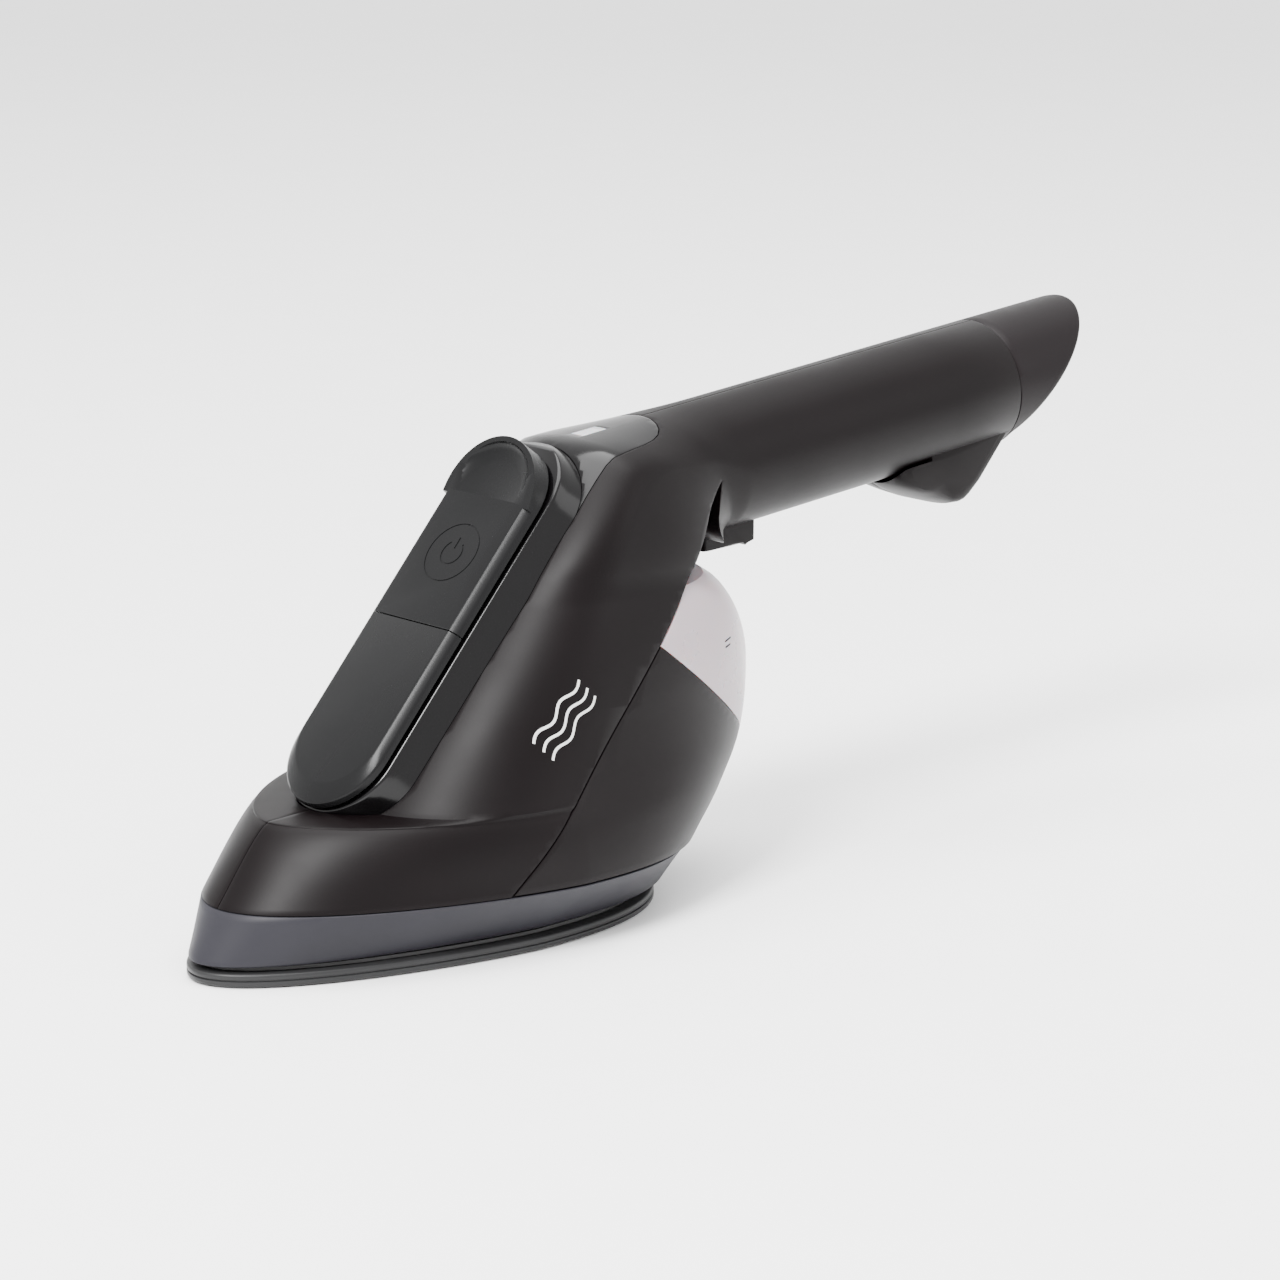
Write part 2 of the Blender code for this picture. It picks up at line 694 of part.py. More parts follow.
def housing_cavity(name):
    cavity = loft(name, hull_rings(WALL, floor=15.0, shelf_drop=WALL), cutter=True)
    cut(cavity, side_prism(name + "_bulkhead", notch_outline(WALL), FAR / 4, cutter=True))
    cut(cavity, *[rod(f"{name}_boss_{i}", (x, -60, z), (x, 60, z), 3.4, cutter=True, sides=16)
                  for i, (x, z) in enumerate(HOUSING_SCREWS)])
    return cavity


def strip_seat(name, depth, grow):
    seat = strip_prism(name, grow)
    cut(seat, loft(name + "_under", hull_rings(depth), cutter=True))
    return seat


def trigger_frame(x, lift):
    """(x, z) at a height over the handle's underside."""
    return x, axis_z(x) - HANDLE_RADIUS / math.cos(HANDLE_ANGLE) + lift


def trigger_slot(name):
    x0, x1 = TRIGGER_START_X - 0.6, TRIGGER_START_X + TRIGGER_LENGTH + 0.6
    outline = [trigger_frame(x0, -8), trigger_frame(x1, -8), trigger_frame(x1, 6.5),
               trigger_frame(x0, 6.5)]
    return side_prism(name, outline, TRIGGER_HALF + 0.4, cutter=True)


TRIGGER_PIVOT = trigger_frame(TRIGGER_START_X + 3.6, 3.4)


def make_housing(name, side):
    """One half of the housing: side is -1 for the left hand and 1 for the right."""
    shell = tail_solid(name)
    shell.hide_render = False
    shell.display_type = "TEXTURED"
    shell.data.materials.append(matte_black())
    prefix = name[:5]
    half = block(prefix + "_half", (100, side * (PARTING_GAP / 2 - 100), 80), (400, 200, 300),
                 cutter=True)
    cut(shell, strip_seat(prefix + "_strip_seat", STRIP_THICK + 0.3, 0.25))
    cut(shell, half, housing_cavity(prefix + "_cavity"))
    cut(shell, side_prism(prefix + "_notch", notch_outline(0.0), FAR / 4, cutter=True))
    cut(shell, cap_region(prefix + "_cap_seam", -FIT_GAP / 2))
    cut(shell, plinth_prism(prefix + "_plinth_seat", FIT_GAP, 4.0))
    cut(shell, trigger_slot(prefix + "_trigger_slot"))
    px, pz = TRIGGER_PIVOT
    cut(shell, rod(prefix + "_pin_hole", (px, -7.8, pz), (px, 7.8, pz), 1.0 + 0.2, cutter=True,
                   sides=12))
    cut(shell, rod(prefix + "_nozzle_hole", (-20, 0, NOZZLE_Z), (30, 0, NOZZLE_Z),
                   NOZZLE_RADIUS + FIT_GAP, cutter=True))
    x, y = WINDOW_AT
    cut(shell, upright(prefix + "_led_hole", x, y, 112, 140, 1.6))
    for i, (sx, sz) in enumerate(HOUSING_SCREWS):
        hole = rod(f"{prefix}_screw_hole_{i}", (sx, -8.5, sz), (sx, 60, sz), SCREW_RADIUS + 0.2,
                   cutter=True, sides=12)
        cut(shell, hole)
        if side > 0:
            depth = screw_head_y(sx, sz)
            cut(shell, rod(f"{prefix}_screw_head_{i}", (sx, depth - 1.4, sz), (sx, 60, sz),
                           SCREW_HEAD + FIT_GAP, cutter=True, sides=16))


def screw_head_y(x, z):
    """How far out a housing screw's head stands, in a well in the right half's side."""
    if z < 60:
        return 24.0
    return 12.6


def make_housing_screws():
    for i, (x, z) in enumerate(HOUSING_SCREWS, 1):
        y = screw_head_y(x, z)
        screw(f"housing_screw_{i}", (x, y, z), (x, -8.0, z), 1.0)


def make_end_cap():
    cap = tail_solid("end_cap")
    cap.hide_render = False
    cap.display_type = "TEXTURED"
    cap.data.materials.append(matte_black())
    keep_inside(cap, cap_region("cap_keep", FIT_GAP / 2))
    hollow = loft("cap_hollow", [handle_ring(a, WALL) for a in (120, 150, 215)], cutter=True)
    cut(hollow, side_prism("cap_floor", below_line(HEEL_POINT, HEEL_ANGLE, -WALL), FAR / 2,
                           cutter=True))
    cut(cap, hollow)
    start, end = handle_plane(140, 0), handle_plane(190, 0)
    cut(cap, rod("gland_hole", (start[0], 0, start[1]), (end[0], 0, end[1]), 5.0 + FIT_GAP,
                 cutter=True))


def make_cord_gland():
    start, end = handle_plane(152, 0), handle_plane(190, 0)
    gland = rod("cord_gland", (start[0], 0, start[1]), (end[0], 0, end[1]), 5.0, rubber())
    cut(gland, rod("gland_bore", (start[0] - 5, 0, start[1] - 0.4), (end[0], 0, end[1]), 2.7,
                   cutter=True))
    cut(gland, side_prism("gland_trim", below_line(HEEL_POINT, HEEL_ANGLE, -0.4), FAR / 2,
                          cutter=True))


# The control panel

def make_plinth():
    plinth = plinth_prism("panel_frame", 0.0, CAP_THICK + CAP_SEAM, gloss_black(), cutter=False)
    top = above_line(handle_plane(0, HANDLE_RADIUS), HANDLE_ANGLE, 0.0)
    cut(plinth, side_prism("plinth_top", top, FAR / 4, cutter=True))
    tray = panel_prism("plinth_tray", [(stadium(TRAY_HALF, 0.0, CAP_LENGTH - 4), -5.0),
                                       (stadium(TRAY_HALF, 0.0, CAP_LENGTH - 4),
                                        PLINTH_DEPTH - TRAY_FLOOR)], cutter=True)
    cut(plinth, tray)
    a, b = panel_point(BUTTON_AT, 0), panel_point(BUTTON_AT, 20)
    cut(plinth, rod("stem_hole", (a[0], 0, a[1]), (b[0], 0, b[1]), STEM_RADIUS + 0.5, cutter=True))


def cap_body(name, start, end, open_start=False, open_end=False):
    """One piece of the cap between two places along the panel, with its chamfered edge."""
    toe = 0.0 if open_start else CAP_TOE_CHAMFER
    outlines = []
    for depth, grow in ((0.0, 0.0), (CAP_CHAMFER, CAP_CHAMFER), (CAP_THICK, CAP_CHAMFER + 0.2)):
        share = min(1.0, depth / CAP_CHAMFER)
        outline = stadium(PANEL_HALF + grow, start - toe * share, end, 12, open_start, open_end)
        outlines.append((outline, depth))
    body = panel_prism(name, outlines, gloss_black())
    return body


def make_panel_cover():
    cover = cap_body("panel_cover", 0.0, CAP_SPLIT - 0.2, open_end=True)
    tongue = panel_prism("cover_tongue", [(stadium(TRAY_HALF - FIT_GAP, 0.0, CAP_SPLIT - 3,
                                                   open_end=True), 2.0),
                                          (stadium(TRAY_HALF - FIT_GAP, 0.0, CAP_SPLIT - 3,
                                                   open_end=True), 9.0)], cutter=True)
    relief = panel_prism("cover_relief", [(stadium(TRAY_HALF - 2.2, 0.5, CAP_SPLIT - 6), 3.0),
                                          (stadium(TRAY_HALF - 2.2, 0.5, CAP_SPLIT - 6), 12.0)],
                         cutter=True)
    join(cover, tongue)
    cut(cover, relief)


def make_lip():
    """A thumb lip round the button's upper end, tallest at the very end."""
    half = PANEL_HALF + CAP_CHAMFER
    start = CAP_LENGTH - 1.0
    lip = panel_prism("lip", [(stadium(half - 0.1, start, CAP_LENGTH, open_start=True), 2.0),
                              (stadium(half - 0.9, start, CAP_LENGTH, open_start=True), -6.0)],
                      cutter=True)
    scoop = panel_prism("lip_scoop", [(stadium(half - 5.4, 0.0, CAP_LENGTH), -0.2),
                                      (stadium(half - 4.0, 0.0, CAP_LENGTH), -1.0),
                                      (stadium(half - 2.2, 0.0, CAP_LENGTH), -7.0)], cutter=True)
    low, high = panel_point(start, 0.15), panel_point(CAP_LENGTH + half - 1.0, -LIP_RISE)
    slope = math.atan2(high[1] - low[1], high[0] - low[0])
    top = side_prism("lip_top", above_line(low, slope, 0.0), FAR / 4, cutter=True)
    return cut(lip, scoop, top)


def make_button():
    button = cap_body("power_button", CAP_SPLIT + 0.2, CAP_LENGTH, open_start=True)
    join(button, make_lip())
    start, end = panel_point(BUTTON_AT, 2.0), panel_point(BUTTON_AT, PLINTH_DEPTH + 1.6)
    join(button, rod("stem", (start[0], 0, start[1]), (end[0], 0, end[1]), STEM_RADIUS,
                     cutter=True))
    guide = stadium(TRAY_HALF - 0.7, CAP_SPLIT + 4, CAP_LENGTH - 5, open_start=True)
    inner = stadium(TRAY_HALF - 2.4, CAP_SPLIT + 5.6, CAP_LENGTH - 5, open_start=True)
    wall = panel_prism("button_guide", [(guide, 2.0), (guide, 8.0)], cutter=True)
    hollow = panel_prism("button_hollow", [(inner, CAP_THICK - 0.9), (inner, 12.0)], cutter=True)
    cut(wall, hollow)
    join(button, wall)
    at_joint(button, *panel_point(BUTTON_AT, 0.0))


def spring(name, start, end, coil, wire, turns, surface):
    """A coil spring from start to end."""
    start, end = Vector(start), Vector(end)
    way = (end - start).normalized()
    across = way.orthogonal().normalized()
    over = way.cross(across)
    points = []
    for i in range(turns * 8 + 1):
        a = 2 * math.pi * i / 8
        points.append(start + (end - start) * (i / (turns * 8))
                      + (across * math.cos(a) + over * math.sin(a)) * coil)
    curve = bpy.data.curves.new(name, "CURVE")
    curve.dimensions = "3D"
    curve.bevel_depth = wire * MM
    curve.bevel_resolution = 1
    curve.use_fill_caps = True
    line = curve.splines.new("POLY")
    line.points.add(len(points) - 1)
    for point, place in zip(line.points, points):
        point.co = (*(place * MM), 1.0)
    curve.materials.append(surface)
    obj = bpy.data.objects.new(name, curve)
    bpy.context.scene.collection.objects.link(obj)
    return obj


def make_button_spring():
    top = panel_point(BUTTON_AT, CAP_THICK + 0.75)
    foot = panel_point(BUTTON_AT, PLINTH_DEPTH - TRAY_FLOOR - 0.75)
    spring("button_spring", (top[0], 0, top[1]), (foot[0], 0, foot[1]), 3.2, 0.4, 4, steel())


def make_strip():
    strip = loft("top_strip", hull_rings(), gloss_black())
    keep_inside(strip, strip_prism("strip_keep", 0.0))
    cut(strip, loft("strip_under", hull_rings(STRIP_THICK), cutter=True))
    cut(strip, plinth_prism("strip_front", FIT_GAP, -12.0))
    x, y = WINDOW_AT
    w, d = WINDOW_SIZE
    cut(strip, block("window_hole", (x, y, 120), (w + 0.4, d + 0.4, 40), cutter=True))


def make_window():
    x, y = WINDOW_AT
    w, d = WINDOW_SIZE
    window = loft("indicator_window", hull_rings(), clear_plastic())
    keep_inside(window, block("window_keep", (x, y, 120), (w, d, 40), cutter=True))
    cut(window, loft("window_under", hull_rings(STRIP_THICK), cutter=True))


def make_led():
    x, y = WINDOW_AT
    top = axis_z(x) + HANDLE_RADIUS - STRIP_THICK - 0.4
    led = upright("indicator_led", x, y, top - 4.6, top - 0.3, 1.2, white_plastic(), cutter=False)
    foot = upright("led_foot", x, y, top - 5.4, top - 4.2, 1.9)
    join(led, foot)


# The trigger

def make_trigger():
    x0, x1 = TRIGGER_START_X, TRIGGER_START_X + TRIGGER_LENGTH
    drop = TRIGGER_DROP
    outline = [trigger_frame(x0, 0.4 - drop), trigger_frame(x0 + 2, -drop + 0.1),
               trigger_frame(x0 + 11, -drop - 0.4), trigger_frame(x1 - 4.0, -drop - 0.6),
               trigger_frame(x1 - 3.2, -drop - 1.4), trigger_frame(x1 - 2.0, -drop - 0.9),
               trigger_frame(x1, -drop - 0.6), trigger_frame(x1, 4.4), trigger_frame(x0 + 7, 4.4),
               trigger_frame(x0 + 5.2, 5.4), trigger_frame(x0 + 1.4, 5.4), trigger_frame(x0, 4.2)]
    rings = [[(x, y, z) for x, z in pulled_in(outline, amount)]
             for y, amount in ((-TRIGGER_HALF, 0.7), (-TRIGGER_HALF + 0.7, 0.0),
                               (TRIGGER_HALF - 0.7, 0.0), (TRIGGER_HALF, 0.7))]
    trigger = loft("steam_trigger", rings, matte_black())
    px, pz = TRIGGER_PIVOT
    cut(trigger, rod("trigger_bore", (px, -20, pz), (px, 20, pz), 1.2, cutter=True, sides=12))
    at_joint(trigger, px, pz)


def make_trigger_parts():
    px, pz = TRIGGER_PIVOT
    rod("trigger_pin", (px, -7.5, pz), (px, 7.5, pz), 1.0, steel(), sides=12)
    x0 = TRIGGER_START_X
    low = trigger_frame(x0 + 14.5, 4.4 + 0.7)
    high = trigger_frame(x0 + 14.5, 10.1)
    spring("trigger_spring", (low[0], 0, low[1]), (high[0], 0, high[1]), 2.2, 0.35, 4, steel())
    x, z = trigger_frame(x0 + 10.5, 14.0)
    blue = material("switch_blue", (0.03, 0.05, 0.1), 0.5)
    switch = block("trigger_switch", (x, 0, z), (16.0, 7.0, 6.4), blue, tilt=HANDLE_ANGLE)
    x, z = trigger_frame(x0 + 10.5, 5.45 + 3.5)
    join(switch, block("switch_plunger", (x, 0, z), (2.0, 3.0, 7.0), cutter=True,
                       tilt=HANDLE_ANGLE))


# The water tank

def tank_form(name, inset, floor, surface=None, cutter=True):
    """The tank's solid, moved inwards by inset from every side."""
    solid = loft(name, tank_rings(inset, floor), surface, cutter)
    front = above_line(TANK_PLANE_POINT, TANK_PLANE_ANGLE, -(TANK_GAP + inset))
    top = above_line(TANK_TOP_POINT, TANK_TOP_ANGLE, -inset)
    cut(solid, side_prism(name + "_front", front, FAR / 4, cutter=True))
    return cut(solid, side_prism(name + "_top", top, FAR / 4, cutter=True))


FILLER_Z = 62.0
FILLER_RADIUS = 7.0
FLAP_HINGE = (106.9, 54.0)      # just under the flap, at the tank's rear
TANK_ORIGIN = (73.0, 60.0)


def make_tank():
    floor = SKIRT_TOP_Z + 0.5
    tank = tank_form("water_tank", 0.0, floor, clear_plastic(), cutter=False)
    cut(tank, tank_form("tank_hollow", TANK_WALL, floor + TANK_WALL))
    cut(tank, side_prism("tank_split", below_line(TANK_SPLIT_POINT, TANK_SPLIT_ANGLE, -0.15),
                         FAR / 4, cutter=True))
    cut(tank, rod("filler_hole", (90, 0, FILLER_Z), (120, 0, FILLER_Z), FILLER_RADIUS + FIT_GAP,
                  cutter=True))
    base = tank_form("tank_base", 0.0, floor, matte_black(), cutter=False)
    cut(base, tank_form("base_hollow", TANK_WALL, floor + TANK_WALL))
    cut(base, side_prism("base_split", above_line(TANK_SPLIT_POINT, TANK_SPLIT_ANGLE, -0.15),
                         FAR / 4, cutter=True))
    cut(base, rod("seal_hole", (-20, 0, NOZZLE_Z), (30, 0, NOZZLE_Z), 5.2 + 0.3, cutter=True))
    at_joint(tank, *TANK_ORIGIN)
    at_joint(base, *TANK_ORIGIN)


def make_filler_flap():
    flap = rod("filler_flap", (103.6, 0, FILLER_Z), (120, 0, FILLER_Z), FILLER_RADIUS, rubber())
    keep_inside(flap, loft("flap_skin", tank_rings(0.0, SKIRT_TOP_Z + 0.5), cutter=True))
    at_joint(flap, *FLAP_HINGE)


def make_tank_seal():
    seal = rod("tank_seal", (-20, 0, NOZZLE_Z), (30, 0, NOZZLE_Z), 5.2, silicone())
    cut(seal, rod("seal_bore", (-25, 0, NOZZLE_Z), (35, 0, NOZZLE_Z), NOZZLE_RADIUS + 0.3,
                  cutter=True))
    front = above_line(TANK_PLANE_POINT, TANK_PLANE_ANGLE, -TANK_GAP)
    back = below_line(TANK_PLANE_POINT, TANK_PLANE_ANGLE, TANK_GAP + 3.4)
    cut(seal, side_prism("seal_front", front, FAR / 4, cutter=True),
        side_prism("seal_back", back, FAR / 4, cutter=True))
    at_joint(seal, *TANK_ORIGIN)


# Inside the housing

PUMP_START = (-4.0, 0.0, 41.0)
PUMP_END = (13.0, 0.0, 58.0)
PUMP_RADIUS = 7.0


def make_pump():
    pump = rod("water_pump", PUMP_START, PUMP_END, PUMP_RADIUS, white_plastic(), sides=24)
    way = (Vector(PUMP_END) - Vector(PUMP_START)).normalized()
    start, end = Vector(PUMP_START), Vector(PUMP_END)
    join(pump, rod("pump_inlet", start - way * 5, start + way * 2, 2.4, cutter=True))
    join(pump, rod("pump_outlet", end - way * 2, end + way * 5, 2.4, cutter=True))


def make_nozzle_and_hoses():
    nozzle = rod("inlet_nozzle", (-1.5, 0, NOZZLE_Z), (16.0, 0, NOZZLE_Z), NOZZLE_RADIUS,
                 white_plastic())
    cut(nozzle, rod("nozzle_bore", (-5, 0, NOZZLE_Z), (20, 0, NOZZLE_Z), 1.6, cutter=True))
    tube("water_hose", [(-2.3, 0, 30.0), (-7.0, 0, 30.2), (-10.6, 0, 32.4),
                        (-10.6, 0, 34.4), (-7.95, 0, 37.05)],
         HOSE_RADIUS - 0.2, silicone())
    tube("steam_feed_hose", [(17.1, 0.0, 62.1), (19.2, -1.0, 64.2), (20.0, -6.0, 64.0), (13.0, -12.5, 56.5),
                             (-6.0, -13.0, 40.0), (-20.0, -7.0, 27.0), (-24.0, 0, 19.0),
                             (-24.0, 0, 13.9)], HOSE_RADIUS, silicone())


def make_board():
    x, z = panel_point(50.0, PLINTH_DEPTH + 3.6)
    board = block("circuit_board", (x, 0, z), (44.0, 26.0, 1.4), board_green(), tilt=PANEL_ANGLE)
    sx, sz = panel_point(BUTTON_AT, PLINTH_DEPTH + 3.0)
    join(board, block("tact_switch", (sx, 0, sz), (5.0, 5.0, 1.2), cutter=True, tilt=PANEL_ANGLE))
    for i, (along, y, size) in enumerate(((36.0, 6.0, 6.0), (44.0, -6.5, 5.0), (64.0, 4.0, 4.0))):
        cx, cz = panel_point(along, PLINTH_DEPTH + 4.2 + size / 4)
        join(board, block(f"component_{i}", (cx, y, cz), (size, size, size / 2), cutter=True,
                          tilt=PANEL_ANGLE))


def make_thermals():
    z0 = CHAMBER_TOP_Z + 0.3 + LID_THICK + 0.3
    upright("thermostat", -33.0, 0.0, z0, z0 + 7.0, 4.0, steel(), cutter=False, sides=20)
    fuse = rod("thermal_fuse", (-27.5, 8.2, z0 + 1.8), (-14.0, 8.2, z0 + 1.8), 1.7, white_plastic(),
               sides=12)
    lead = rod("fuse_lead", (-30.5, 8.2, z0 + 1.8), (-11.5, 8.2, z0 + 1.8), 0.5, cutter=True,
               sides=8)
    join(fuse, lead)


def make_terminal_block():
    x, z = handle_plane(112.0, -3.0)
    body = block("mains_terminal_block", (x, 0, z), (18.0, 15.0, 9.0), white_plastic(),
                 tilt=HANDLE_ANGLE)
    for i, y in enumerate((-4.0, 4.0)):
        cx, cz = handle_plane(112.0, 1.0)
        cut(body, rod(f"terminal_well_{i}", (cx, y, cz - 3), (cx, y, cz + 6), 1.6, cutter=True,
                      sides=12))


def clear_scene():
    for obj in list(bpy.data.objects):
        bpy.data.objects.remove(obj, do_unlink=True)


def build():
    clear_scene()
    make_soleplate()
    make_gasket()
    make_steam_chamber()
    make_chamber_lid()
    make_heating_element()
    make_skirt()
    make_sole_screws()
    make_housing("left_housing", -1)
    make_housing("right_housing", 1)
    make_housing_screws()
    make_end_cap()
    make_cord_gland()
    make_plinth()
    make_panel_cover()
    make_button()
    make_button_spring()
    make_strip()
    make_window()
    make_led()
    make_trigger()
    make_trigger_parts()
    make_tank()
    make_filler_flap()
    make_tank_seal()
    make_pump()
    make_nozzle_and_hoses()
    make_board()
    make_thermals()
    make_terminal_block()


build()
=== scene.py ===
"""The looks of the hand steam iron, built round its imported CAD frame.

Lengths in the tables below are in millimetres in the part's own frame, with +X from toe to tail. Where a CAD
piece gives a size, it is read from that piece's box.
"""
import json
import math

import bmesh
import bpy
from mathutils import Matrix, Vector
from mathutils.bvhtree import BVHTree


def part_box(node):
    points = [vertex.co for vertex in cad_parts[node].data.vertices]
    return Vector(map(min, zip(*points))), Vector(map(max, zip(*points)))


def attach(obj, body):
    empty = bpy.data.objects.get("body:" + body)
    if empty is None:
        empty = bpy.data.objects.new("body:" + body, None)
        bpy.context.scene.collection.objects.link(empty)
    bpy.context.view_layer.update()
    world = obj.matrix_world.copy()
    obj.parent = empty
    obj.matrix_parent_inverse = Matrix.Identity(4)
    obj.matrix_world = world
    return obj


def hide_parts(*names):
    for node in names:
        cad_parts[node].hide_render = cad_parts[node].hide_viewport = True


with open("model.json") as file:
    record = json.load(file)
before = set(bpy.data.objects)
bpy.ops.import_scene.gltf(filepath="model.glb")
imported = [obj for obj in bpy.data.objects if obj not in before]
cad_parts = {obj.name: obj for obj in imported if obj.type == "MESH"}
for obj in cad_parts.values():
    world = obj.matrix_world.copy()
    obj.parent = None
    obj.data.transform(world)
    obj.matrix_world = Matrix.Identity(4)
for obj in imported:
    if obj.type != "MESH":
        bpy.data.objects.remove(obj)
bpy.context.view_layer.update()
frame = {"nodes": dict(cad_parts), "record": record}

MM = 0.001


def box_mm(node):
    low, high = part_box(node)
    return low / MM, high / MM


SOLE_LOW, SOLE_HIGH = box_mm("soleplate")
SKIRT_LOW, SKIRT_HIGH = box_mm("heat_shield_skirt")
TRIGGER_LOW, TRIGGER_HIGH = box_mm("steam_trigger")
WINDOW_LOW, WINDOW_HIGH = box_mm("indicator_window")
SOLE_HALF = SOLE_HIGH.y
SOLE_TOP = SOLE_HIGH.z
SKIRT_TOP = SKIRT_HIGH.z
SKIRT_BOTTOM = SKIRT_LOW.z
HULL_FOOT = SKIRT_TOP + 0.3

RING = 128
PANEL_ANGLE = math.radians(48.1)
PANEL_FOOT = (-24.3, 56.0)
PANEL_HALF = 15.1
CAP_LENGTH = 73.0
CAP_SPLIT = 34.5
CAP_THICK = 3.7
CAP_CHAMFER = 1.8
CAP_TOE_CHAMFER = 3.0
CAP_SEAM = 1.1
LIP_RISE = 3.6
PLINTH_HALF = 17.4
PLINTH_FLARE = 2.4
PLINTH_LENGTH = 76.5
PLINTH_DEPTH = 13.0
TRAY_HALF = 12.6
HANDLE_ANGLE = math.radians(5.0)
HANDLE_START = (63.2, 104.8)
HANDLE_RADIUS = 18.2
TAIL_CAP_AT = 144.0
HEEL_POINT = (195.7, 89.1)
HEEL_ANGLE = math.radians(46.1)
TANK_PLANE_POINT = (-4.5, 18.4)
TANK_PLANE_ANGLE = math.radians(43.1)
TANK_SPLIT_POINT = (53.1, 72.2)
TANK_SPLIT_ANGLE = math.radians(-38.0)
FAN_PIVOT = (104.5, 87.0)
FAN_END = 85.0
TOE_POWERS = (1.35, 1.95)
LEDGE_POWERS = (1.85, 1.6)
FRONT_POWERS = (2.4, 2.3)
REAR_POWERS = (2.6, 2.0)
ROUND = (2.0, 2.0)
LEDGE_Z = 37.4

# Height, nose x, widest x, rear x and half width of the hull under its toe ledge
LOW = ((18.1, -65.0, 18.0, 80.0, 47.0), (22.0, -62.0, 18.5, 84.5, 46.6), (28.0, -57.5, 19.0, 90.5, 45.6),
       (33.0, -53.5, 20.0, 94.5, 44.5), (37.4, -49.2, 21.2, 97.4, 43.1))
# Height, widest x, rear x and half width above it
HIGH = ((37.4, 21.2, 97.4, 43.1), (46.0, 25.0, 100.8, 40.6), (54.0, 29.0, 103.0, 38.8),
        (63.0, 34.0, 103.4, 37.2), (73.0, 39.0, 102.6, 35.2), (81.0, 42.0, 101.4, 33.0),
        (86.9, 44.0, 100.4, 31.0))
TANK_REAR = ((18.1, 81.0), (22.0, 85.5), (27.0, 91.5), (33.0, 97.2), (38.0, 101.7), (46.0, 105.5),
             (54.0, 107.0), (60.0, 107.2), (66.0, 106.3), (72.0, 103.8), (78.0, 99.6),
             (82.0, 95.2), (85.5, 89.0))


# Numbers along curves

def lerp(a, b, t):
    return a + (b - a) * t


def smooth(t):
    t = min(max(t, 0.0), 1.0)
    return t * t * (3 - 2 * t)


def through(table, at, column=1):
    """A smooth reading of a table's column at a value of its first column."""
    rows = list(table)
    if at <= rows[0][0]:
        return rows[0][column]
    if at >= rows[-1][0]:
        return rows[-1][column]
    i = max(k for k in range(len(rows) - 1) if rows[k][0] <= at)
    slopes = []
    for k in (i, i + 1):
        if 0 < k < len(rows) - 1:
            left = (rows[k][column] - rows[k - 1][column]) / (rows[k][0] - rows[k - 1][0])
            right = (rows[k + 1][column] - rows[k][column]) / (rows[k + 1][0] - rows[k][0])
            slopes.append(0.0 if left * right < 0 else (left + right) / 2)
        else:
            j = min(k, len(rows) - 2)
            slopes.append((rows[j + 1][column] - rows[j][column]) / (rows[j + 1][0] - rows[j][0]))
    a, b = rows[i], rows[i + 1]
    span = b[0] - a[0]
    t = (at - a[0]) / span
    h00, h10 = 2 * t ** 3 - 3 * t ** 2 + 1, t ** 3 - 2 * t ** 2 + t
    return (h00 * a[column] + h10 * span * slopes[0] + (1 - h00) * b[column]
            + (t ** 3 - t ** 2) * span * slopes[1])


def span(start, end, count):
    return [lerp(start, end, i / (count - 1)) for i in range(count)]


# The hull's rings, as the CAD model has them but finer

def panel_point(along, depth):
    c, s = math.cos(PANEL_ANGLE), math.sin(PANEL_ANGLE)
    return PANEL_FOOT[0] + along * c + depth * s, PANEL_FOOT[1] + along * s - depth * c


def front_x(z):
    x, foot = panel_point(0, 9.5)
    return x + (z - foot) / math.tan(PANEL_ANGLE)


def axis_z(x):
    return HANDLE_START[1] + (x - HANDLE_START[0]) * math.tan(HANDLE_ANGLE)


def handle_plane(along, lift=0.0):
    c, s = math.cos(HANDLE_ANGLE), math.sin(HANDLE_ANGLE)
    return HANDLE_START[0] + along * c - lift * s, HANDLE_START[1] + along * s + lift * c


def super_ring(origin, direction, front, mid, rear, half, front_powers, rear_powers, count=RING):
    ring = []
    for i in range(count):
        a = 2 * math.pi * i / count
        c, s = math.cos(a), math.sin(a)
        p, m = front_powers if c >= 0 else rear_powers
        reach = (front - mid) if c >= 0 else (mid - rear)
        u = mid + math.copysign(abs(c) ** (2 / p), c) * reach
        y = math.copysign(abs(s) ** (2 / m), s) * half
        ring.append((origin[0] + direction[0] * u, y, origin[1] + direction[1] * u))
    return ring


def flat_ring(z, nose, mid, rear, half, inset, powers):
    x = FAN_PIVOT[0]
    return super_ring((x, z), (-1, 0), x - nose - inset, x - mid, x - rear + inset, half - inset,
                      powers, REAR_POWERS)


def low_powers(z):
    t = smooth((z - HULL_FOOT) / (LEDGE_Z - HULL_FOOT))
    return tuple(lerp(a, b, t) for a, b in zip(TOE_POWERS, LEDGE_POWERS))


def level_ring(z, inset=0.0, rear=None):
    if z <= LEDGE_Z:
        nose, mid, back, half = [through(LOW, z, i) for i in (1, 2, 3, 4)]
        powers = low_powers(z)
    else:
        nose = front_x(z)
        mid, back, half = [through(HIGH, z, i) for i in (1, 2, 3)]
        powers = FRONT_POWERS
    return flat_ring(z, nose, mid, back if rear is None else rear, half, inset, powers)


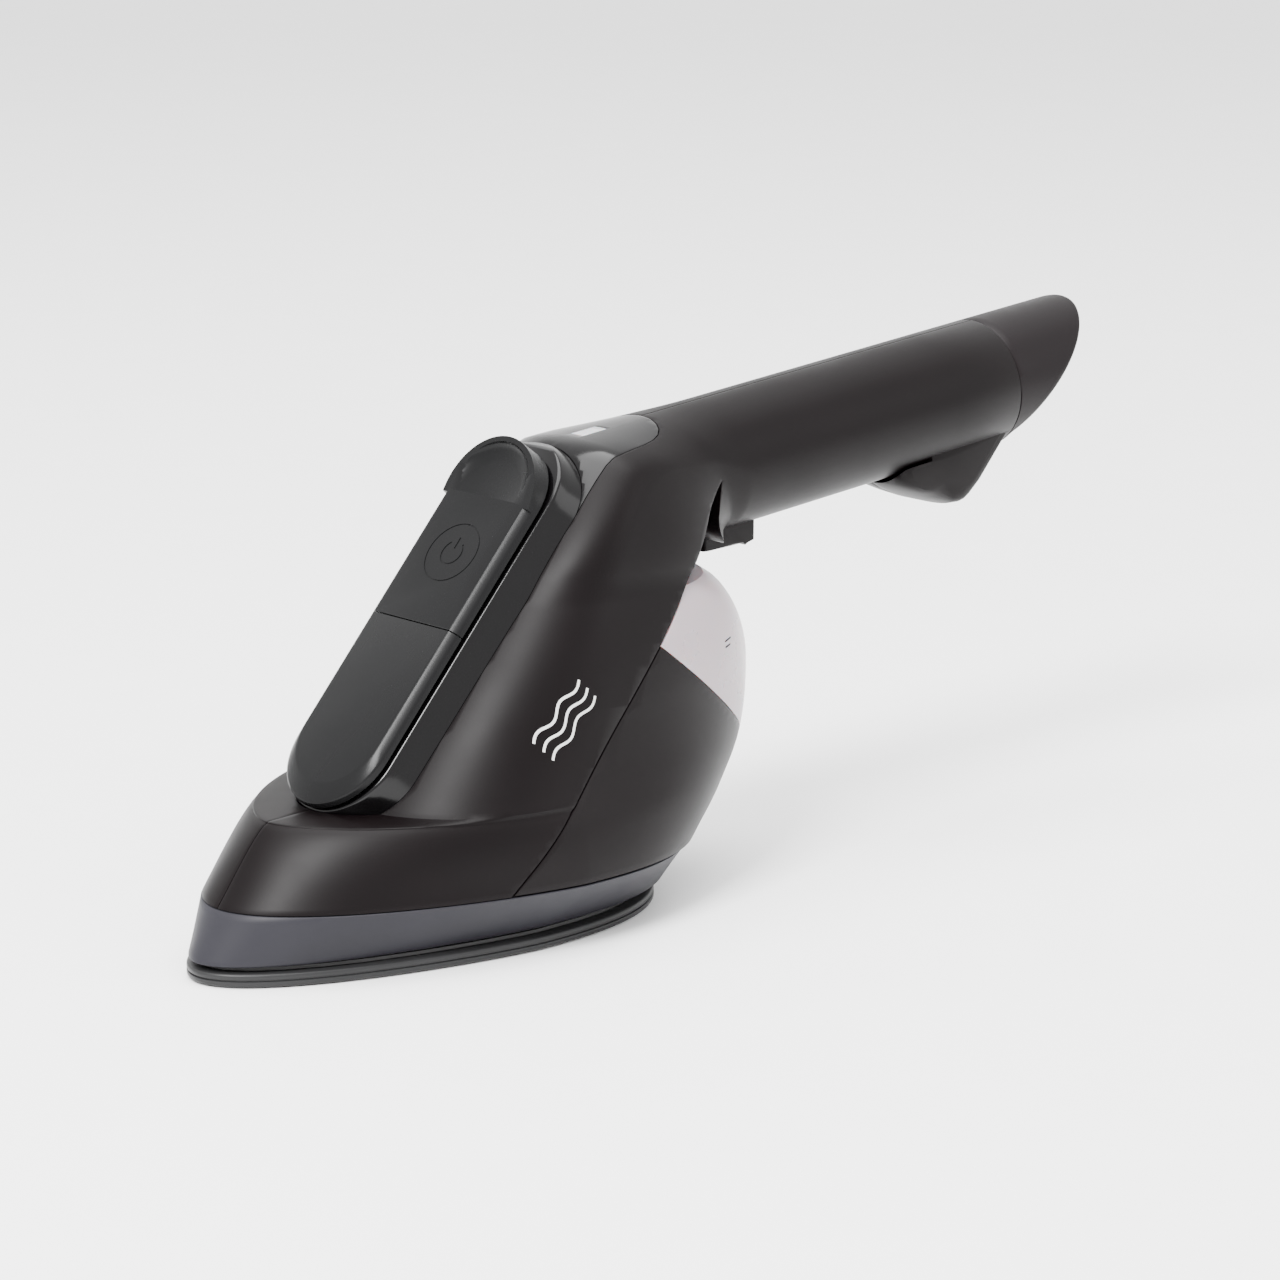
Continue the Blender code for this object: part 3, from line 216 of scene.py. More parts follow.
def ledge_rings(inset):
    """The rounded edge and the nearly level top of the toe."""
    _, nose, mid, back, half = LOW[-1]
    low = flat_ring(LEDGE_Z - 0.8, nose - 0.6, mid, back, half + 0.1, inset, LEDGE_POWERS)
    edge = flat_ring(LEDGE_Z, nose + 0.35, mid, back, half, inset, LEDGE_POWERS)
    high = flat_ring(LEDGE_Z + 0.8, front_x(LEDGE_Z + 0.8), mid, back, half - 0.15, inset, FRONT_POWERS)
    rings = [low]
    for share, z in ((0.0, LEDGE_Z - 0.35), (0.007, LEDGE_Z - 0.0625)):
        rings.append([(lerp(a[0], b[0], share), lerp(a[1], b[1], share), z) for a, b in zip(edge, high)])
    for t in (0.04, 0.12, 0.35, 0.7, 1.0):
        rings.append([(lerp(a[0], b[0], t), lerp(a[1], b[1], t), lerp(LEDGE_Z, LEDGE_Z + 0.8, t))
                      for a, b in zip(edge, high)])
    return rings


def fan_ring(angle, inset):
    a = math.radians(angle)
    share = smooth(angle / FAN_END)
    direction = (-math.cos(a), math.sin(a))
    slope = math.tan(PANEL_ANGLE)
    rise = panel_point(0, 9.5)[1] + slope * (FAN_PIVOT[0] - panel_point(0, 9.5)[0]) - FAN_PIVOT[1]
    to_panel = rise / (math.sin(a) + slope * math.cos(a))
    tilt = math.tan(HANDLE_ANGLE)
    over = axis_z(FAN_PIVOT[0]) + HANDLE_RADIUS / math.cos(HANDLE_ANGLE) - FAN_PIVOT[1]
    to_top = over / (math.sin(a) + tilt * math.cos(a))
    gap = to_panel - to_top
    front = (to_panel + to_top - math.sqrt(gap * gap + 1.44)) / 2
    rear = lerp(4.1, over - 2 * HANDLE_RADIUS, share)
    _, mid0, _, half0 = HIGH[-1]
    mid = lerp(FAN_PIVOT[0] - mid0, over - HANDLE_RADIUS, share)
    mid = min(mid, front - 14.0)
    half = lerp(half0, HANDLE_RADIUS, smooth(angle / 62.0))
    powers = tuple(lerp(h, r, share) for h, r in zip(FRONT_POWERS, ROUND))
    back = tuple(lerp(h, r, share) for h, r in zip(REAR_POWERS, ROUND))
    return super_ring(FAN_PIVOT, direction, front - inset, mid, rear + inset, half - inset,
                      powers, back)


def handle_ring(along, inset):
    c, s = math.cos(HANDLE_ANGLE), math.sin(HANDLE_ANGLE)
    origin = (HANDLE_START[0] + along * c, HANDLE_START[1] + along * s)
    r = HANDLE_RADIUS - inset
    return super_ring(origin, (-s, c), r, 0.0, -r, r, ROUND, ROUND)


def hull_rings(inset=0.0):
    rings = [level_ring(z, inset) for z in span(HULL_FOOT, LEDGE_Z - 1.6, 14)]
    rings += ledge_rings(inset)
    rings += [level_ring(z, inset) for z in span(LEDGE_Z + 2.0, HIGH[-1][0], 22)]
    rings += [fan_ring(angle, inset) for angle in span(4.0, FAN_END, 30)]
    rings += [handle_ring(step, inset) for step in (52, 66, 80, 100, 120, 150, 180, 215)]
    return rings


def tank_rings(inset, floor):
    heights = [floor, *[z for z in span(20.0, 36.4, 9) if z > floor + 0.5], *span(39.4, 87.5, 26)]
    return [level_ring(z, inset, through(TANK_REAR, z)) for z in heights]


def outline_ring(z, nose, rear, half, inset, count=RING):
    """A ring of the soleplate's family of outlines."""
    mid = nose + (rear - nose) * 0.577
    return [(x, y, z) for x, y, _ in
            super_ring((mid, z), (-1, 0), mid - nose - inset, 0.0, mid - rear + inset, half - inset,
                       TOE_POWERS, REAR_POWERS, count)]


def stadium(half, start, end, count=28, open_start=False, open_end=False):
    points = []
    if open_start:
        points += [(start, -half)]
    if open_end:
        points += [(end, -half), (end, half)]
    else:
        points += [(end + half * math.sin(a), -half * math.cos(a))
                   for a in (math.pi * i / count for i in range(count + 1))]
    if open_start:
        points += [(start, half)]
    else:
        points += [(start - half * math.sin(a), half * math.cos(a))
                   for a in (math.pi * i / count for i in range(count + 1))]
    return points


# Meshes

def finish(name, bm, sharp=32.0):
    bmesh.ops.recalc_face_normals(bm, faces=bm.faces)
    if bm.calc_volume(signed=True) < 0:
        bmesh.ops.reverse_faces(bm, faces=bm.faces)
    mesh = bpy.data.meshes.new(name)
    bm.to_mesh(mesh)
    bm.free()
    mesh.shade_smooth()
    mesh.set_sharp_from_angle(angle=math.radians(sharp))
    obj = bpy.data.objects.new(name, mesh)
    bpy.context.scene.collection.objects.link(obj)
    return obj


def loft(name, rings, sharp=32.0):
    """A closed skin over rings of the same count of points, with a flat face at each end."""
    bm = bmesh.new()
    rows = [[bm.verts.new(Vector(p) * MM) for p in ring] for ring in rings]
    count = len(rings[0])
    for low, high in zip(rows, rows[1:]):
        for i in range(count):
            j = (i + 1) % count
            bm.faces.new((low[i], low[j], high[j], high[i]))
    bm.faces.new(list(reversed(rows[0])))
    bm.faces.new(rows[-1])
    return finish(name, bm, sharp)


def side_prism(name, outline, half):
    return loft(name, [[(x, side, z) for x, z in outline] for side in (-half, half)])


def plate(name, outline, z0, z1):
    return loft(name, [[(x, y, z0) for x, y in outline], [(x, y, z1) for x, y in outline]])


def panel_loft(name, outlines, sharp=32.0):
    rings = []
    for outline, depth in outlines:
        ring = []
        for along, y in outline:
            x, z = panel_point(along, depth)
            ring.append((x, y, z))
        rings.append(ring)
    return loft(name, rings, sharp=sharp)


def rod(name, start, end, radius, sides=48):
    start, end = Vector(start) * MM, Vector(end) * MM
    bm = bmesh.new()
    bmesh.ops.create_cone(bm, cap_ends=True, segments=sides, radius1=radius * MM,
                          radius2=radius * MM, depth=(end - start).length)
    turn = (end - start).to_track_quat("Z", "Y").to_matrix().to_4x4()
    bm.transform(Matrix.Translation((start + end) / 2) @ turn)
    return finish(name, bm)


def block(name, low, high):
    bm = bmesh.new()
    bmesh.ops.create_cube(bm, size=1.0)
    low, high = Vector(low) * MM, Vector(high) * MM
    bm.transform(Matrix.Translation((low + high) / 2) @ Matrix.Diagonal((*(high - low), 1.0)))
    return finish(name, bm)


def apply_modifiers(obj):
    bpy.context.view_layer.update()
    graph = bpy.context.evaluated_depsgraph_get()
    mesh = bpy.data.meshes.new_from_object(obj.evaluated_get(graph))
    obj.modifiers.clear()
    old = obj.data
    obj.data = mesh
    bpy.data.meshes.remove(old)
    return obj


def boolean(obj, operation, *others):
    """Cuts, joins or intersects for good, and removes the other objects."""
    for other in others:
        modifier = obj.modifiers.new("op", "BOOLEAN")
        modifier.operation = operation
        modifier.object = other
        modifier.solver = "EXACT"
        apply_modifiers(obj)
        bpy.data.objects.remove(other, do_unlink=True)
    return obj


def cut(obj, *others):
    return boolean(obj, "DIFFERENCE", *others)


def join(obj, *others):
    return boolean(obj, "UNION", *others)


def keep(obj, *others):
    return boolean(obj, "INTERSECT", *others)


def soften(obj, width, angle, segments):
    """Rounds the sharp edges a little, so that they catch the light."""
    modifier = obj.modifiers.new("round", "BEVEL")
    modifier.width = width * MM
    modifier.segments = segments
    modifier.limit_method = "ANGLE"
    modifier.angle_limit = math.radians(angle)
    modifier.use_clamp_overlap = True
    apply_modifiers(obj)
    obj.data.shade_smooth()
    obj.data.set_sharp_from_angle(angle=math.radians(32))
    return obj


def half_plane(name, point, angle, offset, above):
    """A slab of everything above or below a side-view line, moved away from it by offset."""
    reach = 400.0
    c, s = math.cos(angle), math.sin(angle)
    turn = 1 if above else -1
    px = point[0] - s * offset * turn
    pz = point[1] + c * offset * turn
    a, b = (px - reach * c, pz - reach * s), (px + reach * c, pz + reach * s)
    lift = (-s * reach * turn, c * reach * turn)
    far = [(x + lift[0], z + lift[1]) for x, z in (b, a)]
    return side_prism(name, [a, b, *far], 200)


def notch(name):
    """The open space behind the housing's cheeks and under the handle."""
    c, s = math.cos(TANK_PLANE_ANGLE), math.sin(TANK_PLANE_ANGLE)
    start = TANK_PLANE_POINT
    apex = (start[0] + 131.0 * c, start[1] + 131.0 * s)
    low = -HANDLE_RADIUS - 0.4
    outline = [(start[0] - 60 * c, start[1] - 60 * s), apex]
    corner = (apex[0] - 1.2, apex[1] - 9.0)
    nose = handle_plane(29.5, low + 1.6)
    for t in span(0.0, 1.0, 9):
        a, b = corner, nose
        outline.append((lerp(a[0], b[0], t) - 2.2 * math.sin(math.pi * t), lerp(a[1], b[1], t)))
    outline += [handle_plane(31.5, low + 0.5), handle_plane(34.5, low), handle_plane(120.0, low),
                handle_plane(120.0, low - 200), (start[0] - 60 * c + 30, -130)]
    return side_prism(name, outline, 100)


# Materials

def surface(name, colour, rough, metal=0.0, bump=0.05, grain=3000.0, smudge=0.05, tone=0.12,
            gloss=0.5):
    """A Principled material with fine grain, uneven gloss and a faint change of tone."""
    made = bpy.data.materials.new(name)
    made.use_nodes = True
    tree = made.node_tree
    shader = tree.nodes["Principled BSDF"]
    shader.inputs["Metallic"].default_value = metal
    shader.inputs["Specular IOR Level"].default_value = gloss
    where = tree.nodes.new("ShaderNodeTexCoord")

    def noise(scale, detail):
        node = tree.nodes.new("ShaderNodeTexNoise")
        node.inputs["Scale"].default_value = scale
        node.inputs["Detail"].default_value = detail
        tree.links.new(where.outputs["Object"], node.inputs["Vector"])
        return node.outputs["Fac"]

    def spread(value, low, high):
        node = tree.nodes.new("ShaderNodeMapRange")
        node.inputs["From Min"].default_value = 0.3
        node.inputs["From Max"].default_value = 0.7
        node.inputs["To Min"].default_value = low
        node.inputs["To Max"].default_value = high
        tree.links.new(value, node.inputs["Value"])
        return node.outputs["Result"]

    mix = tree.nodes.new("ShaderNodeMix")
    mix.data_type = "RGBA"
    mix.inputs[6].default_value = (*[c * (1 - tone) for c in colour], 1.0)
    mix.inputs[7].default_value = (*[c * (1 + tone) for c in colour], 1.0)
    tree.links.new(spread(noise(28.0, 4.0), 0.0, 1.0), mix.inputs[0])
    tree.links.new(mix.outputs[2], shader.inputs["Base Color"])
    blotches = spread(noise(45.0, 5.0), rough - smudge, rough + smudge)
    tree.links.new(blotches, shader.inputs["Roughness"])
    relief = tree.nodes.new("ShaderNodeBump")
    relief.inputs["Strength"].default_value = bump
    relief.inputs["Distance"].default_value = 0.0001
    tree.links.new(noise(grain, 2.0), relief.inputs["Height"])
    tree.links.new(relief.outputs["Normal"], shader.inputs["Normal"])
    return made


def clear(name, colour, rough, through_light):
    """A translucent plastic, which scatters some of the light that enters it."""
    made = surface(name, colour, rough, bump=0.02, grain=400.0, tone=0.04)
    shader = made.node_tree.nodes["Principled BSDF"]
    shader.inputs["Transmission Weight"].default_value = through_light
    shader.inputs["Subsurface Weight"].default_value = 0.25
    shader.inputs["Subsurface Scale"].default_value = 0.004
    return made


GRAIN = 3800.0
BODY = surface("body_black", (0.0018, 0.0009, 0.0011), 0.42, bump=0.10, grain=GRAIN, smudge=0.03,
               gloss=0.10)
TAIL = surface("tail_black", (0.0034, 0.0021, 0.0025), 0.44, bump=0.10, grain=GRAIN, smudge=0.03,
               gloss=0.12)
TANK_BLACK = surface("tank_black", (0.0020, 0.0011, 0.0013), 0.36, bump=0.06, grain=GRAIN,
                     smudge=0.03, gloss=0.12)
PANEL = surface("panel_gloss", (0.0052, 0.0052, 0.0054), 0.26, bump=0.02, grain=900.0, smudge=0.03,
                gloss=0.10)
FRAME = surface("frame_gloss", (0.0018, 0.0016, 0.0018), 0.15, bump=0.015, grain=900.0, smudge=0.03,
                gloss=0.22)
SKIRT = surface("skirt_grey", (0.0155, 0.0150, 0.0185), 0.44, bump=0.08, grain=3500.0, smudge=0.04,
                gloss=0.12)
SOLE = surface("sole_grey", (0.0150, 0.0150, 0.0155), 0.40, metal=0.1, bump=0.05, grain=1500.0,
               smudge=0.06, gloss=0.2)
DARK_RUBBER = surface("dark_rubber", (0.012, 0.012, 0.012), 0.75, bump=0.15, grain=1800.0)
TANK_CLEAR = clear("tank_clear", (0.34, 0.285, 0.305), 0.28, 0.20)
WINDOW = clear("window_clear", (0.42, 0.42, 0.44), 0.10, 0.2)
MARK = surface("mark_grey", (0.035, 0.035, 0.037), 0.5, bump=0.02)
DECAL = surface("decal_white", (0.82, 0.82, 0.80), 0.45, bump=0.02, tone=0.03)
STEEL = surface("steel", (0.55, 0.55, 0.56), 0.28, metal=1.0, bump=0.05, grain=2500.0)
CAST = surface("cast_metal", (0.5, 0.5, 0.51), 0.5, metal=0.9, bump=0.3, grain=700.0)
BOARD = surface("board_green", (0.02, 0.13, 0.05), 0.45, bump=0.1, grain=900.0)
PALE = surface("pale_plastic", (0.62, 0.61, 0.57), 0.45, bump=0.08, grain=2500.0)
SILICONE = clear("silicone_hose", (0.66, 0.67, 0.65), 0.4, 0.2)
BLUE = surface("switch_blue", (0.02, 0.035, 0.09), 0.4, bump=0.05)
HIDDEN = {"steel": STEEL, "cast_metal": CAST, "board_green": BOARD, "white_plastic": PALE,
          "silicone": SILICONE, "switch_blue": BLUE, "rubber": DARK_RUBBER}


def show(obj, body, slot, material, *nodes):
    """Gives a fine piece its material, its body and the CAD nodes that it stands for."""
    obj.data.materials.clear()
    obj.data.materials.append(material)
    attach(obj, body)
    if nodes:
        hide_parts(*nodes)
    return obj


# The ironing end

VENTS = ((-50, 7), (-38, 14), (-22, 21), (-4, 24), (16, 25), (36, 23))
VENT_RADIUS = 1.2


def sole_holes(low, high):
    """Cutters for the steam vents, where the CAD plate has them."""
    return [rod("vent", (x, side * y, low), (x, side * y, high), VENT_RADIUS, 20)
            for x, y in VENTS for side in (-1, 1)]


def make_sole():
    """The plate, with its rounded rim and the fine groove half way up it."""
    nose, rear, top = SOLE_LOW.x, SOLE_HIGH.x, SOLE_TOP
    profile = ((0.0, 1.2), (0.12, 0.7), (0.4, 0.25), (0.8, 0.02), (1.35, 0.0), (1.62, 0.06), (1.78, 0.5),
               (1.98, 0.5), (2.14, 0.10), (2.5, 0.02), (3.1, 0.05), (3.42, 0.3), (top, 0.8))
    rings = [outline_ring(z, nose, rear, SOLE_HALF, inset) for z, inset in profile]
    sole = loft("sole_skin", rings, sharp=50)
    cut(sole, *sole_holes(-1.0, top + 1.0))
    show(sole, "housing", "sole_metal", SOLE, "soleplate")


def make_skirt():
    """The flared skirt. foot and head hold its nose, rear and half width at the bottom and the top."""
    foot = (SKIRT_LOW.x, 76.4, 35.3)
    head = (-65.2, SKIRT_HIGH.x, SKIRT_HIGH.y)
    tall = SKIRT_TOP - SKIRT_BOTTOM
    steps = [(0.0, 1.6), (0.05 / tall, 0.5), (0.25 / tall, 0.12), (0.6 / tall, 0.0)]
    steps += [(t, 0.0) for t in span(0.12, 0.985, 8)]
    steps.append((1.0, 0.25))
    rings = []
    for t, inset in steps:
        nose, rear, half = [lerp(a, b, t) for a, b in zip(foot, head)]
        rings.append(outline_ring(lerp(SKIRT_BOTTOM, SKIRT_TOP, t), nose, rear, half, inset))
    skirt = loft("skirt_skin", rings, sharp=50)
    show(skirt, "housing", "grey_plastic", SKIRT, "heat_shield_skirt")


# The housing

HOOK_OUTLINE = ((211.0, 108.0), (199.0, 92.6), (194.6, 88.2), (192.6, 86.7), (190.4, 86.0), (187.3, 85.9),
                (179.0, 88.3), (173.8, 90.2), (168.9, 92.4), (165.2, 94.8), (162.8, 97.6),
                (162.0, 101.0), (165.0, 103.5), (186.0, 107.0))
HOOK_HALF = 13.6


def pulled_in(outline, amount):
    cx = sum(p[0] for p in outline) / len(outline)
    cz = sum(p[1] for p in outline) / len(outline)
    moved = []
    for x, z in outline:
        d = math.hypot(x - cx, z - cz)
        moved.append((x + (cx - x) * amount / d, z + (cz - z) * amount / d))
    return moved


def hook():
    """The foot under the tail, round in plan, with the slit that parts it from the handle."""
    rings = []
    for a in span(-90.0, 90.0, 19):
        y = HOOK_HALF * math.sin(math.radians(a))
        amount = 6.5 * (1 - abs(math.cos(math.radians(a))) ** 0.62)
        rings.append([(x, y, z) for x, z in pulled_in(HOOK_OUTLINE, amount)])
    made = loft("hook", rings, sharp=40)
    start, end = handle_plane(60.0), handle_plane(112.0)
    return cut(made, rod("slit", (start[0], 0, start[1]), (end[0], 0, end[1]), HANDLE_RADIUS + 1.1, 96))


PLINTH_TOP = CAP_THICK + CAP_SEAM
PLINTH_SLOPE = PLINTH_FLARE / (PLINTH_DEPTH - CAP_THICK - CAP_SEAM)


def panel_seat(grow, top_depth):
    """The space that the raised frame takes in what is round it."""
    top_half = PLINTH_HALF + grow + PLINTH_SLOPE * (top_depth - CAP_THICK - CAP_SEAM)
    foot_half = PLINTH_HALF + PLINTH_FLARE + grow
    rows = ((top_half, top_depth), (foot_half, PLINTH_DEPTH + grow))
    return panel_loft("seat", [(stadium(half, -CAP_TOE_CHAMFER, PLINTH_LENGTH, 40), depth)
                               for half, depth in rows])


STRIP_OUTLINE = ((26.0, 20.6), (30.0, 20.3), (34.0, 19.9), (39.0, 19.4), (44.0, 18.8), (48.0, 18.3),
                 (52.0, 17.7), (57.0, 17.0), (62.0, 16.2), (66.0, 15.3), (70.0, 14.0), (73.0, 12.4),
                 (75.4, 10.2), (77.0, 7.6), (78.1, 4.4), (78.6, 0.0))


STRIP_FOOT_Z = 106.0
OVER_ALL_Z = 150.0              # higher than anything on the iron


def strip_prism(grow):
    points = [(x + (grow if x > 70 else 0.0), y + (grow if y else 0.0)) for x, y in STRIP_OUTLINE]
    outline = [*points, *[(x, -y) for x, y in reversed(points[:-1])]]
    return plate("strip_area", outline, STRIP_FOOT_Z, OVER_ALL_Z)


WELLS = ((-32.0, 27.5, 22.0), (70.0, 112.5, 11.6), (150.0, 104.5, 11.6))   # x, z and the floor's y
WELL_RADIUS = 3.05


def make_housing():
    """Both halves of the housing as one skin, with a fine groove where they part."""
    shell = loft("housing_skin", hull_rings(), sharp=28)
    seat = strip_prism(0.22)
    cut(seat, loft("under_strip", hull_rings(1.4)))
    cut(shell, seat)
    cut(shell, notch("notch_space"))
    tail = handle_plane(TAIL_CAP_AT - 0.15, 0.0)
    join(shell, hook())
    cut(shell, half_plane("heel", HEEL_POINT, HEEL_ANGLE, 0.0, above=False))
    cut(shell, half_plane("ring_plane", tail, HANDLE_ANGLE - math.pi / 2, 0.0, above=True))
    cut(shell, panel_seat(0.3, 3.0))
    cut(shell, block("trigger_slot", TRIGGER_LOW - Vector((0.5, 0.4, 3)),
                     TRIGGER_HIGH + Vector((0.5, 0.4, 2))))
    groove = block("parting", (-80, -0.11, 10), (215, 0.11, 145))
    cut(groove, loft("parting_core", hull_rings(0.35)))
    cut(shell, groove)
    cut(shell, *[rod("well", (x, y, z), (x, 60, z), WELL_RADIUS, 32) for x, z, y in WELLS])
    soften(shell, 0.28, 42, 2)
    return shell


CAP_RIM = 2.6                   # how far the end cap's rounded rim reaches
GLAND_WELL_RADIUS = 5.3


def heel_reach(lift):
    """How far along the handle's axis the heel face is, at a height over the axis."""
    c, s = math.cos(HANDLE_ANGLE), math.sin(HANDLE_ANGLE)
    slope = math.tan(HEEL_ANGLE)
    x0, z0 = handle_plane(0.0, lift)
    return (HEEL_POINT[1] + slope * (x0 - HEEL_POINT[0]) - z0) / (s - slope * c)


def end_cap_ring(inset, share, back):
    """A ring at a share of the way from the seam to where the cap ends, back from the heel face."""
    start = TAIL_CAP_AT + 0.2
    r = HANDLE_RADIUS - inset
    points = []
    for i in range(RING):
        a = 2 * math.pi * i / RING
        lift, y = r * math.cos(a), r * math.sin(a)
        end = max(heel_reach(lift) - back, start + 0.4 * share + 0.05)
        x, z = handle_plane(lerp(start, end, share), lift)
        points.append((x, y, z))
    return points


def make_end_cap():
    """The tail beyond the ring seam, with its rim rounded."""
    rows = [end_cap_ring(0.25, 0.0, CAP_RIM), end_cap_ring(0.0, 0.015, CAP_RIM)]
    rows += [end_cap_ring(0.0, t, CAP_RIM) for t in span(0.1, 1.0, 10)]
    for a in span(15, 90, 6):
        t = math.radians(a)
        rows.append(end_cap_ring(CAP_RIM * 0.75 * (1 - math.cos(t)), 1.0, CAP_RIM * (1 - math.sin(t))))
    cap = loft("end_cap_skin", rows, sharp=40)
    a, b = handle_plane(150.0), handle_plane(190.0)
    cut(cap, rod("gland_well", (a[0], 0, a[1]), (b[0], 0, b[1]), GLAND_WELL_RADIUS, 48))
    show(cap, "housing", "tail_black", TAIL, "end_cap")


# The panel

# Depth, how much wider than the face, and the share of the toe's longer chamfer
CAP_PROFILE = ((0.0, -0.9, 0.0), (0.12, -0.35, 0.0), (0.38, 0.12, 0.1),
               (CAP_CHAMFER - 0.35, CAP_CHAMFER - 0.45, 0.9), (CAP_CHAMFER, CAP_CHAMFER - 0.12, 1.0),
               (CAP_CHAMFER + 0.35, CAP_CHAMFER, 1.0), (CAP_THICK - 0.3, CAP_CHAMFER + 0.18, 1.0),
               (CAP_THICK, CAP_CHAMFER - 0.1, 1.0))


def cap_outlines(start, end, open_start=False, open_end=False):
    """The rows of the panel's cover, or of its button, each with its depth under the face."""
    rows = []
    for depth, grow, share in CAP_PROFILE:
        toe = 0.0 if open_start else CAP_TOE_CHAMFER * share
        trim_start = 0.15 if open_start and depth == 0.0 else 0.0
        trim_end = 0.15 if open_end and depth == 0.0 else 0.0
        outline = stadium(PANEL_HALF + grow, start - toe + trim_start, end - trim_end, 40,
                          open_start, open_end)
        rows.append((outline, depth))
    return rows


SIGN_AT = 55.5                  # the power sign's centre, along the panel
SIGN_DEPTH = 0.18


def groove(outline):
    return panel_loft("groove", [(outline, -1.0), (outline, SIGN_DEPTH)])


def groove_arc(radius, width, start, end, steps):
    def side(r, angles):
        return [(SIGN_AT + r * math.cos(a), r * math.sin(a)) for a in angles]

    angles = span(start, end, steps)
    return groove(side(radius + width / 2, angles) + side(radius - width / 2, angles[::-1]))


def engraving():
    """Cutters for a ring and a plain power sign on the button's face."""
    ring = [groove_arc(8.6, 0.36, start, end, 40)
            for start, end in ((0.0, math.pi), (math.pi - 0.001, 2 * math.pi))]
    bow = groove_arc(3.5, 0.5, math.radians(38), math.radians(322), 44)
    low, high = SIGN_AT + 1.2, SIGN_AT + 4.6
    bar = groove([(low, -0.25), (high, -0.25), (high, 0.25), (low, 0.25)])
    return [*ring, bow, bar]


def make_lip():
    """The crescent at the button's upper end, which a finger pushes against."""
    half = PANEL_HALF + CAP_CHAMFER
    start = CAP_LENGTH - 1.0
    lip = panel_loft("lip", [(stadium(half - 0.05, start, CAP_LENGTH, 48, open_start=True), 2.4),
                             (stadium(half - 0.8, start, CAP_LENGTH, 48, open_start=True), -6.0)])
    scoop_rows = [(stadium(half - 2.0 - 4.2 * (1 - t) ** 2.2, 0.0, CAP_LENGTH, 48), -0.05 - 3.0 * t)
                  for t in span(0.0, 1.0, 9)]
    scoop_rows.append((stadium(half - 1.9, 0.0, CAP_LENGTH, 48), -7.0))
    scoop = panel_loft("scoop", scoop_rows)
    low, high = panel_point(start, 0.15), panel_point(CAP_LENGTH + half - 1.0, -LIP_RISE)
    slope = math.atan2(high[1] - low[1], high[0] - low[0])
    return cut(lip, scoop, half_plane("lip_top", low, slope, 0.0, above=True))


def make_panel():
    """The raised frame, the fixed cover and the button on the sloping front."""
    rows = []
    for down, inset in ((0.0, 0.9), (0.12, 0.35), (0.42, 0.08), (0.9, 0.0), (3.0, 0.0),
                        (PLINTH_DEPTH - PLINTH_TOP, 0.0)):
        half = PLINTH_HALF + PLINTH_SLOPE * down - inset
        rows.append((stadium(half, -CAP_TOE_CHAMFER, PLINTH_LENGTH, 48), PLINTH_TOP + down))
    plinth = panel_loft("panel_frame_skin", rows, sharp=40)
    cut(plinth, half_plane("plinth_top", handle_plane(0, HANDLE_RADIUS), HANDLE_ANGLE, 0.0, above=True))
    tray = stadium(TRAY_HALF, 0.0, CAP_LENGTH - 4, 32)
    cut(plinth, panel_loft("tray", [(tray, -5.0), (tray, PLINTH_DEPTH - 2.0)]))
    show(plinth, "housing", "gloss_black", FRAME, "panel_frame")
    cover_rows = cap_outlines(0.0, CAP_SPLIT - 0.16, open_end=True)
    cover = panel_loft("panel_cover_skin", cover_rows, sharp=40)
    show(cover, "housing", "panel_black", PANEL, "panel_cover")
    button_rows = cap_outlines(CAP_SPLIT + 0.16, CAP_LENGTH, open_start=True)
    button = panel_loft("power_button_skin", button_rows, sharp=40)
    join(button, make_lip())
    cut(button, *engraving())
    button.data.shade_smooth()
    button.data.set_sharp_from_angle(angle=math.radians(30))
    show(button, "power_button", "panel_black", PANEL, "power_button")


def make_strip():
    """The gloss strip over the top, and the small window let into it."""
    strip = loft("top_strip_skin", hull_rings(), sharp=30)
    keep(strip, strip_prism(0.0))
    cut(strip, loft("strip_under", hull_rings(1.1)))
    cut(strip, panel_seat(0.22, -12.0))
    low, high = WINDOW_LOW, WINDOW_HIGH
    cut(strip, block("window_hole", (low.x - 0.15, low.y - 0.15, 100), (high.x + 0.15, high.y + 0.15, 150)))
    soften(strip, 0.15, 42, 2)
    show(strip, "housing", "gloss_black", FRAME, "top_strip")
    window = loft("window_skin", hull_rings(), sharp=30)
    keep(window, block("window_area", (low.x, low.y, 100), (high.x, high.y, 150)))
    cut(window, loft("window_under", hull_rings(1.0)))
    show(window, "housing", "smoked_clear", WINDOW, "indicator_window")


def make_trigger():
    """The finger lever: its CAD shape with the edges rounded."""
    source = frame["nodes"]["steam_trigger"]
    lever = bpy.data.objects.new("trigger_skin", source.data.copy())
    bpy.context.scene.collection.objects.link(lever)
    weld = lever.modifiers.new("weld", "WELD")
    weld.merge_threshold = 0.00001
    apply_modifiers(lever)
    soften(lever, 0.35, 30, 3)
    show(lever, "steam_trigger", "matte_black", BODY, "steam_trigger")


# The tank

FILLER_Z = 62.0
FLAP_RADIUS = 7.0


def tank_form(name, inset, floor):
    """The tank's solid, moved inwards by inset from every side."""
    solid = loft(name, tank_rings(inset, floor), sharp=30)
    cut(solid, half_plane("front", TANK_PLANE_POINT, TANK_PLANE_ANGLE, -(0.5 + inset), above=True))
    return cut(solid, half_plane("top", (66.0, 84.9), math.radians(-1.0), -inset, above=True))


